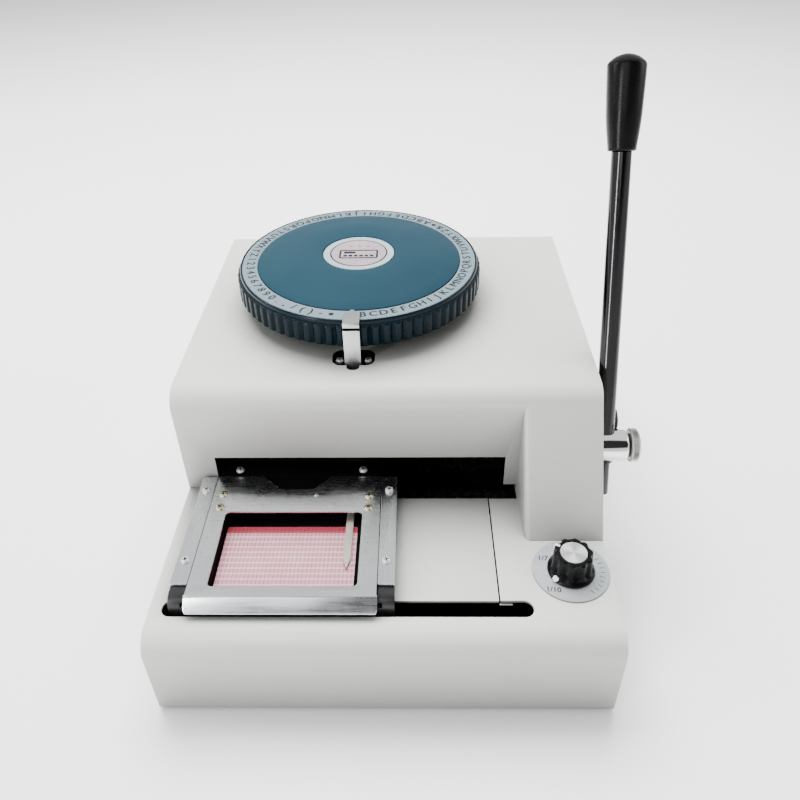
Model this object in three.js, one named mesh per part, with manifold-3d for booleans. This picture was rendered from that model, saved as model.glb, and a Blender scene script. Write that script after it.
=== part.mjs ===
// Manual embosser for plastic cards.
//
// Millimetres, +Z up, +X to the operator's right and +Y to the rear. A card lies in a frame that
// slides front to back in a carriage, and the carriage slides left to right. Two rams close on the
// card between a pair of 72-finger type wheels when the lever is pulled. The dial on top turns the
// wheels to a character, and the knob on the deck sets the letter pitch.
//
// Sub-assemblies are built about the middle of the housing's front edge at table height. The last
// group moves the whole machine so that the origin is the bottom centre of its bounding box.

import * as THREE from 'three';
import { mergeVertices } from 'three/addons/utils/BufferGeometryUtils.js';
import Module from 'manifold-3d';

const wasm = await Module();
wasm.setup();

// ---------------------------------------------------------------- driving dimensions

const GAP = 0.3;                      // between pieces that touch on the real machine
const CUT = 1;                        // how far a cutting solid runs past a face
const SHEET = 2;                      // housing sheet thickness

const WIDTH = 280;                    // housing
const DEPTH = 352;
const HALF_WIDTH = WIDTH / 2;
const FOOT_HEIGHT = 2;
const DECK_Z = 66;
const TOP_Z = 148;
const HEAD_Y = 126;                   // front face of the raised head
const EDGE_RADIUS = 14;               // rolled front edges of deck and head
const COLUMN_X = 89.5;                // left face of the sloped column
const COLUMN_FOOT_Y = 77;
const INSIDE_X = HALF_WIDTH - SHEET;

const SLOT_LEFT = -131.7;             // the two slots that the carriage legs run in
const SLOT_RIGHT = 87.3;
const SLOT_FRONT_Y = 21.2;
const SLOT_BACK_Y = 29.6;
const REAR_SLOT_Y = 115.7;
const MOUTH_LEFT = -117.8;            // opening in the head's front face
const MOUTH_RIGHT = 80.3;
const MOUTH_TOP_Z = 94.5;
const PANEL_LEFT = -120;              // separate deck panel between the slots
const PANEL_RIGHT = 69.1;

const DIAL_X = -22.5;                 // type wheels and dial
const DIAL_Y = 256;
const DIAL_BOTTOM_Z = 158;
const DIAL_RIM_Z = 176;
const DIAL_TOP_Z = 183;
const RIM_RADIUS = 91.3;
const RING_OUTER = 87.5;
const RING_INNER = 75.5;
const RING_TOP_Z = 178;
const BADGE_RADIUS = 26.5;
const CHARACTERS = 72;
const WHEEL_RADIUS = 84;
const WHEEL_HUB_Z = 40;                // underside of the wheels' hub
const SPINDLE_RADIUS = 7;
const STATION_Y = 178;                // where the rams meet the card
const CARD_PLANE_Z = 73.6;

const SHAFT_Y = 138.6;                // main shaft, turned by the lever
const SHAFT_Z = 93.9;
const SHAFT_RADIUS = 7;
const LEVER_X = 149;
const LEVER_LEAN = THREE.MathUtils.degToRad(21.8);
const LEVER_RADIUS = 6.3;
const GRIP_START = 194.3;
const GRIP_END = 249;
const KNOB_END_X = 172;

const CARRIAGE_X = -60.5;             // centre of the carriage at its left-hand stop
const CARRIAGE_TOP_Z = 78;
const FRAME_HALF = 56.45;             // half width of the sliding card frame
const RAIL_INNER = 56.85;
const RAIL_OUTER = 67.2;
const RAIL_FRONT_Y = 33.6;
const RAIL_BACK_Y = 124.4;
const FRONT_ROD_Y = 25.4;
const REAR_ROD_Y = 121;
const ROD_Z = 50;
const ROD_RADIUS = 4;

const CARD_LENGTH = 85.6;
const CARD_WIDTH = 54;
const GRID_FRONT_Y = 33.3;
const CARD_OFFSET_Y = 126;            // from the grid under the needle to the card at the rams

const KNOB_X = 115;                   // letter pitch knob
const KNOB_Y = 53;
const KNOB_POINTS = THREE.MathUtils.degToRad(148);

const ROCKER_Y = 158;                 // pin of the upper rocker
const ROCKER_Z = 120;
const LOWER_SHAFT_Y = 166;            // rock shaft under the type wheels
const LOWER_SHAFT_Z = 34;
const ECCENTRIC_X = 104;              // drives the rock shaft from outside the right frame plate
const ECCENTRIC_THROW = 7.6;
const ECCENTRIC_START = THREE.MathUtils.degToRad(142.5);
const LOWER_ARM = 33.5;
const LOWER_ARM_START = THREE.MathUtils.degToRad(7.95);

// ---------------------------------------------------------------- materials

const paint = (color, roughness, metalness = 0) =>
  new THREE.MeshStandardMaterial({ color, roughness, metalness });

const HOUSING_PAINT = paint(0xdcddd8, 0.45);
const BRIGHT_STEEL = paint(0xb9bfc2, 0.3, 1);
const CHROME = paint(0xd8dadc, 0.08, 1);
const DARK_STEEL = paint(0x2c2e30, 0.5, 0.6);
const CAST_IRON = paint(0x55585a, 0.6, 0.7);
const BRASS = paint(0xb49a5e, 0.35, 1);
const BLACK_PLASTIC = paint(0x141414, 0.35);
const BLUE_PLASTIC = paint(0x2f5d74, 0.4);
const RING_PLATE = paint(0xc9d8e2, 0.4, 0.2);
const SILVER_PLATE = paint(0xd5d5d8, 0.35, 0.4);
const GRID_PRINT = paint(0xe8b9bd, 0.6);
const RUBBER = paint(0x1c1c1c, 0.85);
const CLEAR_PLATE = paint(0xc8ced6, 0.3);

// ---------------------------------------------------------------- solids

// A closed three.js geometry as a manifold solid, its faces turned outwards.
function solid(geometry) {
  const bare = geometry.index ? geometry.toNonIndexed() : geometry.clone();
  bare.deleteAttribute('normal');
  bare.deleteAttribute('uv');
  const merged = mergeVertices(bare, 1e-4);
  const points = merged.attributes.position.array;
  const corners = merged.index.array;
  const kept = [];
  const a = new THREE.Vector3();
  const b = new THREE.Vector3();
  const c = new THREE.Vector3();
  let volume = 0;
  for (let i = 0; i < corners.length; i += 3) {
    const [p, q, r] = [corners[i], corners[i + 1], corners[i + 2]];
    if (p !== q && q !== r && r !== p) {
      kept.push(p, q, r);
      volume += a.fromArray(points, 3 * p).dot(
        b.fromArray(points, 3 * q).cross(c.fromArray(points, 3 * r)));
    }
  }
  if (volume < 0) {
    kept.reverse();
  }
  const mesh = new wasm.Mesh({
    numProp: 3,
    vertProperties: new Float32Array(points),
    triVerts: new Uint32Array(kept),
  });
  return new wasm.Manifold(mesh);
}

// Box from its low and high limits along X, Y and Z.
function box(x0, x1, y0, y1, z0, z1) {
  const geometry = new THREE.BoxGeometry(x1 - x0, y1 - y0, z1 - z0);
  geometry.translate((x0 + x1) / 2, (y0 + y1) / 2, (z0 + z1) / 2);
  return solid(geometry);
}

// Round bars along one axis, from one end to the other.
function barX(radius, x0, x1, y, z, sides = 32) {
  const geometry = new THREE.CylinderGeometry(radius, radius, x1 - x0, sides);
  geometry.rotateZ(-Math.PI / 2);
  geometry.translate((x0 + x1) / 2, y, z);
  return solid(geometry);
}

function barZ(radius, z0, z1, x, y, sides = 32) {
  const geometry = new THREE.CylinderGeometry(radius, radius, z1 - z0, sides);
  geometry.rotateX(Math.PI / 2);
  geometry.translate(x, y, (z0 + z1) / 2);
  return solid(geometry);
}

// Solid of revolution about Z from [radius, z] points that start and end on the axis.
function turned(profile, sides = 48) {
  const points = profile.map(([radius, z]) => new THREE.Vector2(radius, z));
  const geometry = new THREE.LatheGeometry(points, sides);
  geometry.rotateX(Math.PI / 2);
  return solid(geometry);
}

function shapeOf(points) {
  return new THREE.Shape(points.map(([u, v]) => new THREE.Vector2(u, v)));
}

function extruded(shape, depth, curveSegments) {
  return new THREE.ExtrudeGeometry(shape, { depth, bevelEnabled: false, curveSegments });
}

// Outline in (y, z) pushed along X.
function prismX(shape, x0, x1, curveSegments = 8) {
  const geometry = extruded(shape, x1 - x0, curveSegments);
  geometry.applyMatrix4(new THREE.Matrix4().makeBasis(
    new THREE.Vector3(0, 1, 0), new THREE.Vector3(0, 0, 1), new THREE.Vector3(1, 0, 0)));
  geometry.translate(x0, 0, 0);
  return solid(geometry);
}

// Outline in (x, y) pushed along Z.
function prismZ(shape, z0, z1, curveSegments = 8) {
  const geometry = extruded(shape, z1 - z0, curveSegments);
  geometry.translate(0, 0, z0);
  return solid(geometry);
}

function roundedRectangle(x0, x1, y0, y1, radius) {
  const shape = new THREE.Shape();
  shape.moveTo(x0 + radius, y0);
  shape.absarc(x1 - radius, y0 + radius, radius, -Math.PI / 2, 0);
  shape.absarc(x1 - radius, y1 - radius, radius, 0, Math.PI / 2);
  shape.absarc(x0 + radius, y1 - radius, radius, Math.PI / 2, Math.PI);
  shape.absarc(x0 + radius, y0 + radius, radius, Math.PI, Math.PI * 1.5);
  return shape;
}

// Toothed outline: count teeth, each with its flank points as [share of pitch, radius].
function toothedOutline(count, toothPoints) {
  const pitch = 2 * Math.PI / count;
  const points = [];
  for (let tooth = 0; tooth < count; tooth += 1) {
    for (const [share, radius] of toothPoints) {
      const angle = (tooth + share) * pitch;
      points.push([radius * Math.cos(angle), radius * Math.sin(angle)]);
    }
  }
  return shapeOf(points);
}

function union(first, ...others) {
  return others.reduce((whole, other) => whole.add(other), first);
}

function difference(first, ...others) {
  return others.reduce((whole, other) => whole.subtract(other), first);
}

// A manifold solid as a named mesh in a group.
function place(group, name, material, body) {
  const { vertProperties, triVerts } = body.getMesh();
  const geometry = new THREE.BufferGeometry();
  geometry.setAttribute('position', new THREE.BufferAttribute(new Float32Array(vertProperties), 3));
  geometry.setIndex(new THREE.BufferAttribute(new Uint32Array(triVerts), 1));
  geometry.computeVertexNormals();
  const mesh = new THREE.Mesh(geometry, material);
  mesh.name = name;
  group.add(mesh);
}

// ---------------------------------------------------------------- housing

// Side view of a box whose top front edge is rolled.
function rolledProfile(frontY, topZ, bottomZ, backY, radius) {
  const shape = new THREE.Shape();
  shape.moveTo(frontY, bottomZ);
  shape.lineTo(frontY, topZ - radius);
  shape.absarc(frontY + radius, topZ - radius, radius, Math.PI, Math.PI / 2, true);
  shape.lineTo(backY, topZ);
  shape.lineTo(backY, bottomZ);
  return shape;
}

// Side view of the column that leans back from the deck to the head's rolled edge.
function columnProfile(inset, bottomZ) {
  const arcMiddle = EDGE_RADIUS * Math.SQRT1_2;
  const joinY = HEAD_Y + EDGE_RADIUS - arcMiddle;
  const joinZ = TOP_Z - EDGE_RADIUS + arcMiddle;
  const run = (joinY - COLUMN_FOOT_Y) / (joinZ - DECK_Z);
  const shift = inset * Math.hypot(1, run);
  const faceY = (z) => COLUMN_FOOT_Y + (z - DECK_Z) * run + shift;
  const topZ = joinZ - inset;
  const backY = HEAD_Y + 4 * SHEET;
  return shapeOf([[faceY(bottomZ), bottomZ], [backY, bottomZ], [backY, topZ], [faceY(topZ), topZ]]);
}

function buildHousing() {
  const group = new THREE.Group();
  const ledge = 4.2;                  // flange left round the deck's opening under the head
  const headFootZ = DECK_Z + GAP;
  const innerRadius = EDGE_RADIUS - SHEET;

  const base = difference(
    prismX(rolledProfile(0, DECK_Z, FOOT_HEIGHT, DEPTH, EDGE_RADIUS), -HALF_WIDTH, HALF_WIDTH),
    prismX(rolledProfile(SHEET, DECK_Z - SHEET, 0, DEPTH - SHEET, innerRadius),
      -INSIDE_X, INSIDE_X),
    prismZ(roundedRectangle(SLOT_LEFT, SLOT_RIGHT, SLOT_FRONT_Y, SLOT_BACK_Y, 4.1),
      DECK_Z - 2 * SHEET, DECK_Z + CUT),
    box(PANEL_LEFT, PANEL_RIGHT, SLOT_BACK_Y - CUT, REAR_SLOT_Y + CUT,
      DECK_Z - 2 * SHEET, DECK_Z + CUT),
    box(SLOT_LEFT, COLUMN_X, REAR_SLOT_Y, HEAD_Y + 2 * SHEET, DECK_Z - 2 * SHEET, DECK_Z + CUT),
    box(COLUMN_X + SHEET, INSIDE_X - ledge, REAR_SLOT_Y - 10, HEAD_Y + 2 * SHEET,
      DECK_Z - 2 * SHEET, DECK_Z + CUT),
    box(ledge - INSIDE_X, INSIDE_X - ledge, HEAD_Y + SHEET, DEPTH - SHEET - ledge,
      DECK_Z - 2 * SHEET, DECK_Z + CUT),
    barZ(4.5, DECK_Z - 2 * SHEET, DECK_Z + CUT, KNOB_X, KNOB_Y));
  place(group, 'base_shell', HOUSING_PAINT, base);

  const stripGap = 3;                 // under the narrow strip at the right of the mouth
  const pocketFront = 157;            // recess in the top plate round the index strip's foot
  const pocketY = 163.5;
  const pocketBack = 177;
  const head = difference(
    union(
      prismX(rolledProfile(HEAD_Y, TOP_Z, headFootZ, DEPTH, EDGE_RADIUS), -HALF_WIDTH, HALF_WIDTH),
      prismX(columnProfile(0, headFootZ), COLUMN_X, HALF_WIDTH)),
    prismX(rolledProfile(HEAD_Y + SHEET, TOP_Z - SHEET, 0, DEPTH - SHEET, innerRadius),
      -INSIDE_X, INSIDE_X),
    prismX(columnProfile(SHEET, DECK_Z - CUT), COLUMN_X + SHEET, INSIDE_X),
    box(MOUTH_LEFT, MOUTH_RIGHT, HEAD_Y - CUT, HEAD_Y + 2 * SHEET, DECK_Z - CUT, MOUTH_TOP_Z),
    box(MOUTH_RIGHT - CUT, COLUMN_X - GAP, HEAD_Y - CUT, HEAD_Y + 2 * SHEET,
      DECK_Z - CUT, DECK_Z + stripGap),
    barZ(32, TOP_Z - 2 * SHEET, TOP_Z + CUT, DIAL_X, DIAL_Y, 48),
    prismZ(roundedRectangle(DIAL_X - 14.5, DIAL_X + 14.5, pocketY, pocketBack, 6.5),
      TOP_Z - 2 * SHEET, TOP_Z + CUT),
    prismZ(roundedRectangle(DIAL_X - 7.5, DIAL_X + 6, pocketFront, pocketY + 4, 3.2),
      TOP_Z - 2 * SHEET, TOP_Z + CUT),
    barX(SHAFT_RADIUS + 1.5, INSIDE_X - CUT, HALF_WIDTH + CUT, SHAFT_Y, SHAFT_Z),
    box(-120, 120, DEPTH - 2 * SHEET, DEPTH + CUT, DECK_Z + 6, TOP_Z - 8));
  place(group, 'head_cover', HOUSING_PAINT, head);

  const legX = 2;
  const panelFloorZ = 4.6;
  place(group, 'deck_panel', HOUSING_PAINT, union(
    box(PANEL_LEFT + GAP, PANEL_RIGHT - GAP, SLOT_BACK_Y + GAP, REAR_SLOT_Y - GAP,
      DECK_Z - SHEET, DECK_Z),
    box(PANEL_LEFT + GAP, PANEL_LEFT + GAP + legX, 36, 108, panelFloorZ, DECK_Z),
    box(PANEL_RIGHT - GAP - legX, PANEL_RIGHT - GAP, 36, 108, panelFloorZ, DECK_Z)));

  place(group, 'base_plate', DARK_STEEL, box(
    GAP - INSIDE_X, INSIDE_X - GAP, SHEET + GAP, DEPTH - SHEET - GAP,
    FOOT_HEIGHT + GAP, FOOT_HEIGHT + GAP + SHEET));

  const doorGap = 0.5;
  place(group, 'rear_cover', HOUSING_PAINT, union(
    box(doorGap - 120, 120 - doorGap, DEPTH - SHEET - GAP, DEPTH - doorGap,
      DECK_Z + 6 + doorGap, TOP_Z - 8 - doorGap),
    box(-125, 125, DEPTH - 2 * SHEET - GAP, DEPTH - SHEET - GAP, DECK_Z + 2.5, TOP_Z - 4)));

  const footX = 122;
  const footFrontY = 18;
  const feet = {
    foot_front_left: [-footX, footFrontY],
    foot_front_right: [footX, footFrontY],
    foot_rear_left: [-footX, DEPTH - footFrontY],
    foot_rear_right: [footX, DEPTH - footFrontY],
  };
  for (const [name, [x, y]] of Object.entries(feet)) {
    place(group, name, RUBBER, barZ(11, 0, FOOT_HEIGHT, x, y, 24));
  }
  return group;
}

// ---------------------------------------------------------------- inner frame

function buildFrame() {
  const group = new THREE.Group();
  const floorZ = FOOT_HEIGHT + SHEET + 2 * GAP;
  const leftX = -133.5;
  const rightX = 91.8;
  const thickness = 4;
  const frontY = 129;
  const backY = 340;
  const sideTopZ = 138;
  const boreSlack = 0.35;

  function sidePlate(x, lowerBore) {
    const outline = roundedRectangle(frontY, backY, floorZ, sideTopZ, 6);
    const plate = difference(
      prismX(outline, x, x + thickness, 4),
      barX(SHAFT_RADIUS + boreSlack, x - CUT, x + thickness + CUT, SHAFT_Y, SHAFT_Z));
    return lowerBore
      ? plate.subtract(barX(6 + boreSlack, x - CUT, x + thickness + CUT,
        LOWER_SHAFT_Y, LOWER_SHAFT_Z))
      : plate;
  }
  place(group, 'left_frame_plate', CAST_IRON, sidePlate(leftX, false));
  place(group, 'right_frame_plate', CAST_IRON, sidePlate(rightX, true));

  const bridgeLeft = leftX + thickness + GAP;
  const bridgeRight = rightX - GAP;
  const lugs = [-1, 1].map((side) => box(
    DIAL_X + side * 12 - 3, DIAL_X + side * 12 + 3, ROCKER_Y - 6, STATION_Y, 99, 142.5));
  const stripSeat = box(DIAL_X - 15, DIAL_X + 15, 162.2, STATION_Y, 136, 142.5);
  place(group, 'upper_bridge', CAST_IRON, difference(
    union(box(bridgeLeft, bridgeRight, 168, 190, 99, 105), ...lugs, stripSeat),
    barX(3 + boreSlack, DIAL_X - 20, DIAL_X + 20, ROCKER_Y, ROCKER_Z, 16),
    barZ(5.5 + boreSlack, 98, 106, DIAL_X, STATION_Y, 24)));
  place(group, 'rocker_pin', BRIGHT_STEEL,
    barX(3, DIAL_X - 17, DIAL_X + 17, ROCKER_Y, ROCKER_Z, 16));

  const postX = -24;
  const needlePost = box(postX - 7, postX + 7, 146, 154, floorZ, 69);
  const bridgeTopZ = 12;
  const ramGuide = box(DIAL_X - 12, DIAL_X + 12, 171.5, 190, 44, 50);
  const ramLegs = [-1, 1].map((side) => box(
    DIAL_X + side * 15 - 3.5, DIAL_X + side * 15 + 3.5, 156, 190, floorZ, 50));
  place(group, 'lower_bridge', CAST_IRON, difference(
    union(
      box(bridgeLeft, bridgeRight, 146, 280, floorZ, bridgeTopZ),
      needlePost, ramGuide, ...ramLegs),
    barX(6 + boreSlack, DIAL_X - 20, DIAL_X + 20, LOWER_SHAFT_Y, LOWER_SHAFT_Z, 24),
    barZ(4 + boreSlack, 40, 52, DIAL_X, STATION_Y, 24)));

  const socketZ = 20;
  place(group, 'spindle_seat', CAST_IRON, difference(
    barZ(20, bridgeTopZ + GAP, WHEEL_HUB_Z - GAP, DIAL_X, DIAL_Y),
    barZ(SPINDLE_RADIUS + GAP, socketZ, WHEEL_HUB_Z + CUT, DIAL_X, DIAL_Y, 24)));
  place(group, 'spindle_post', BRIGHT_STEEL,
    barZ(SPINDLE_RADIUS, socketZ + GAP, DIAL_RIM_Z - 6.5, DIAL_X, DIAL_Y, 24));

  const rodEnds = INSIDE_X - GAP;
  place(group, 'front_guide_rod', BRIGHT_STEEL,
    barX(ROD_RADIUS, -rodEnds, rodEnds, FRONT_ROD_Y, ROD_Z, 16));
  place(group, 'rear_guide_rod', BRIGHT_STEEL,
    barX(ROD_RADIUS, -rodEnds, rodEnds, REAR_ROD_Y, ROD_Z, 16));

  place(group, 'shaft_bearing', BRASS, difference(
    barX(16, 128, INSIDE_X - GAP, SHAFT_Y, SHAFT_Z),
    barX(SHAFT_RADIUS + boreSlack, 127, INSIDE_X + CUT, SHAFT_Y, SHAFT_Z)));
  return group;
}

// ---------------------------------------------------------------- pointers on the machine

function buildPointers() {
  const group = new THREE.Group();
  const needleX = -24;
  const needleHalf = 2.4;
  const tipY = 52;
  const needle = shapeOf([
    [needleX - needleHalf, 156], [needleX - needleHalf, tipY + 7], [needleX, tipY],
    [needleX + needleHalf, tipY + 7], [needleX + needleHalf, 156]]);
  place(group, 'pointer_needle', BRIGHT_STEEL, prismZ(needle, 69.3, 70.4));

  // Upright strip, bent back over the rim to a point on the character ring.
  const faceY = 160.3;
  const thickness = 1.4;
  const tabZ = RING_TOP_Z + 0.8;
  const bend = 2.6;
  const stripFootZ = 137;
  const strip = new THREE.Shape();
  strip.moveTo(faceY, stripFootZ);
  strip.lineTo(faceY, tabZ + thickness - bend);
  strip.absarc(faceY + bend, tabZ + thickness - bend, bend, Math.PI, Math.PI / 2, true);
  strip.lineTo(182, tabZ + thickness);
  strip.lineTo(182, tabZ);
  strip.absarc(faceY + bend, tabZ + thickness - bend, bend - thickness, Math.PI / 2, Math.PI, false);
  strip.lineTo(faceY + thickness, stripFootZ);
  const stripHalf = 5.5;
  const centreX = DIAL_X;
  const corners = [-1, 1].map((side) => prismZ(shapeOf([
    [centreX + side * 1.6, 183], [centreX + side * 2.2, 180.5], [centreX + side * 4, 177.2],
    [centreX + side * 7, 177.2], [centreX + side * 7, 183]]), 170, 190));
  place(group, 'index_strip', BRIGHT_STEEL, difference(
    prismX(strip, centreX - stripHalf, centreX + stripHalf), ...corners));

  const stopRadius = 8;
  place(group, 'lever_stop', RUBBER,
    barX(stopRadius, HALF_WIDTH + GAP, 159.5, 157.3, 101.3, 24));

  const plate = difference(
    barZ(23.6, DECK_Z + GAP, DECK_Z + GAP + 0.7, KNOB_X, KNOB_Y, 40),
    barZ(4.5, DECK_Z, DECK_Z + 2, KNOB_X, KNOB_Y, 20));
  place(group, 'pitch_plate', CLEAR_PLATE, plate);
  return group;
}

// ---------------------------------------------------------------- lever and main shaft

function buildLever() {
  const group = new THREE.Group();
  const shaft = new THREE.Group();
  shaft.position.set(0, SHAFT_Y, SHAFT_Z);
  const hubStart = HALF_WIDTH + 1.5;
  const hubEnd = 163.6;
  const hubRadius = 11.25;
  place(shaft, 'main_shaft', BRIGHT_STEEL, barX(SHAFT_RADIUS, -135.5, hubStart - GAP, 0, 0));

  // The eccentric lifts the upper rocker as it turns up.
  const camAngle = THREE.MathUtils.degToRad(-37.5);
  const throwLength = 3;
  place(shaft, 'upper_cam', BRIGHT_STEEL, difference(
    barX(11.5, DIAL_X - 6, DIAL_X + 6, throwLength * Math.cos(camAngle),
      throwLength * Math.sin(camAngle)),
    barX(SHAFT_RADIUS + GAP, DIAL_X - 7, DIAL_X + 7, 0, 0, 24)));

  place(shaft, 'press_eccentric', BRIGHT_STEEL, difference(
    barX(16.1, ECCENTRIC_X - 0.5, ECCENTRIC_X + 6.5,
      ECCENTRIC_THROW * Math.cos(ECCENTRIC_START), ECCENTRIC_THROW * Math.sin(ECCENTRIC_START)),
    barX(SHAFT_RADIUS + GAP, ECCENTRIC_X - 2, ECCENTRIC_X + 8, 0, 0, 24)));
  group.add(shaft);

  // Rod, grip and hub share the lever's own frame, with Z along the rod.
  const lever = new THREE.Group();
  lever.position.set(LEVER_X, SHAFT_Y, SHAFT_Z);
  lever.rotation.x = -LEVER_LEAN;
  const studRadius = 4.7;
  const tenonRadius = 4;
  const tenonEnd = GRIP_START + 20;
  const rodEnd = GRIP_START - GAP;
  place(lever, 'lever_rod', CHROME, turned([
    [0, -35.5], [studRadius - 1, -35.5], [studRadius, -34.5], [studRadius, -hubRadius - GAP],
    [LEVER_RADIUS, -hubRadius - GAP], [LEVER_RADIUS, rodEnd], [tenonRadius, rodEnd],
    [tenonRadius, tenonEnd], [0, tenonEnd]], 24));
  place(lever, 'lever_grip', BLACK_PLASTIC, difference(
    turned([
      [0, GRIP_START], [8.1, GRIP_START], [8.5, GRIP_START + 0.8], [10.3, GRIP_START + 17],
      [11.3, GRIP_START + 29], [11.8, GRIP_START + 42], [11.6, GRIP_START + 48.5],
      [10.6, GRIP_START + 50.3], [7.4, GRIP_START + 52.8], [3.8, GRIP_END - 0.3],
      [0, GRIP_END]], 24),
    barZ(tenonRadius + GAP, GRIP_START - CUT, tenonEnd + GAP, 0, 0, 16)));
  place(lever, 'lever_hub', CHROME, difference(
    barX(hubRadius, hubStart - LEVER_X, hubEnd - LEVER_X, 0, 0, 32),
    barZ(LEVER_RADIUS + GAP, -hubRadius - CUT, hubRadius + CUT, 0, 0, 24)));
  group.add(lever);

  // Knurled screw that clamps the rod in the hub.
  const knob = new THREE.Group();
  knob.position.set(hubEnd + GAP, SHAFT_Y, SHAFT_Z);
  knob.rotation.y = Math.PI / 2;
  const knobLength = KNOB_END_X - hubEnd - GAP;
  const knurl = toothedOutline(30, [[0, 11.6], [0.5, 11.6], [0.75, 11.1]]);
  place(knob, 'clamp_knob', BRIGHT_STEEL, union(
    barZ(7, 0, 2, 0, 0, 24),
    prismZ(knurl, 1.2, knobLength - 0.8),
    barZ(10.6, knobLength - 1.6, knobLength, 0, 0, 30)));
  group.add(knob);
  return group;
}

// ---------------------------------------------------------------- press linkage

// Centre line of the return spring that lifts the upper ram.
class SpringPath extends THREE.Curve {
  getPoint(t, target = new THREE.Vector3()) {
    const turns = 3.5;
    const radius = 7.4;
    const angle = t * 2 * Math.PI * turns;
    return target.set(
      DIAL_X + radius * Math.cos(angle), STATION_Y + radius * Math.sin(angle), 105.9 + 8 * t);
  }
}

function buildLinkage() {
  const group = new THREE.Group();

  // Upper rocker: cam pad in front and ram toe behind, on a pin between the bridge lugs.
  const rockerHalf = 7;
  const rocker = prismX(shapeOf([
    [134, 104.1], [146, 104.1], [150, 110], [158, 114], [170, 118.5], [176, 117], [180, 117.6],
    [185, 119.6], [184, 124], [170, 127], [158, 127], [148, 125], [138, 116], [134, 110]]),
  DIAL_X - rockerHalf, DIAL_X + rockerHalf);
  place(group, 'upper_rocker', DARK_STEEL,
    rocker.subtract(barX(3.35, DIAL_X - 20, DIAL_X + 20, ROCKER_Y, ROCKER_Z, 16)));

  place(group, 'upper_ram', BRIGHT_STEEL, union(
    barZ(8.6, 114.8, 116.6, DIAL_X, STATION_Y, 24),
    barZ(5.5, 97, 115, DIAL_X, STATION_Y, 24),
    barZ(3, 94.6, 97.5, DIAL_X, STATION_Y, 12)));

  const wire = shapeOf([[0.5, 0], [0, 0.5], [-0.5, 0], [0, -0.5]]);
  const coil = new THREE.ExtrudeGeometry(wire, {
    steps: 48, bevelEnabled: false, extrudePath: new SpringPath(),
  });
  place(group, 'ram_spring', BRIGHT_STEEL, solid(coil));

  // Rock shaft with its toe under the lower ram and its crank arm outside the frame.
  place(group, 'rock_shaft', BRIGHT_STEEL, union(
    barX(6, DIAL_X - 19, ECCENTRIC_X - 1, LOWER_SHAFT_Y, LOWER_SHAFT_Z, 24),
    prismX(shapeOf([
      [162, 29], [172, 29], [184, 33], [184, 35.5], [181, 37.2], [176, 38.2], [170, 38],
      [162, 39]]),
    DIAL_X - 6, DIAL_X + 6)));
  const pinY = LOWER_SHAFT_Y - LOWER_ARM * Math.cos(LOWER_ARM_START);
  const pinZ = LOWER_SHAFT_Z + LOWER_ARM * Math.sin(LOWER_ARM_START);
  const along = new THREE.Vector2(pinY - LOWER_SHAFT_Y, pinZ - LOWER_SHAFT_Z).normalize();
  const side = new THREE.Vector2(-along.y, along.x).multiplyScalar(5);
  const armStart = ECCENTRIC_X - 1 + GAP;
  const armBar = prismX(shapeOf([
    [LOWER_SHAFT_Y + side.x, LOWER_SHAFT_Z + side.y], [pinY + side.x, pinZ + side.y],
    [pinY - side.x, pinZ - side.y], [LOWER_SHAFT_Y - side.x, LOWER_SHAFT_Z - side.y]]),
  armStart + 8, armStart + 12);
  place(group, 'lower_crank_arm', DARK_STEEL, union(
    armBar,
    barX(8, armStart, armStart + 12, LOWER_SHAFT_Y, LOWER_SHAFT_Z, 24),
    barX(5, armStart + 8, armStart + 12, pinY, pinZ, 16),
    barX(2.4, ECCENTRIC_X - 0.5, armStart + 9, pinY, pinZ, 12)));

  place(group, 'lower_ram', BRIGHT_STEEL, union(
    barZ(4, 39, 50, DIAL_X, STATION_Y, 16),
    barZ(2.5, 49.5, 52, DIAL_X, STATION_Y, 12)));

  // Strap round the eccentric. The slot in its lower eye takes up the sway of the stroke.
  const strapY = SHAFT_Y + ECCENTRIC_THROW * Math.cos(ECCENTRIC_START);
  const strapZ = SHAFT_Z + ECCENTRIC_THROW * Math.sin(ECCENTRIC_START);
  const rodHalf = 4;
  const rodStart = ECCENTRIC_X;
  const rodStop = ECCENTRIC_X + 6;
  const slotHalf = 4.8;
  place(group, 'connecting_rod', DARK_STEEL, difference(
    union(
      barX(20.5, rodStart, rodStop, strapY, strapZ),
      barX(7.5, rodStart, rodStop, pinY, pinZ, 24),
      box(rodStart, rodStop, strapY - rodHalf, strapY + rodHalf, pinZ, strapZ)),
    barX(16.5, rodStart - CUT, rodStop + CUT, strapY, strapZ),
    prismX(roundedRectangle(pinY - slotHalf, pinY + slotHalf, pinZ - 3, pinZ + 3, 2.9),
      rodStart - CUT, rodStop + CUT, 4)));
  return group;
}

// ---------------------------------------------------------------- dial and type wheels

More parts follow.
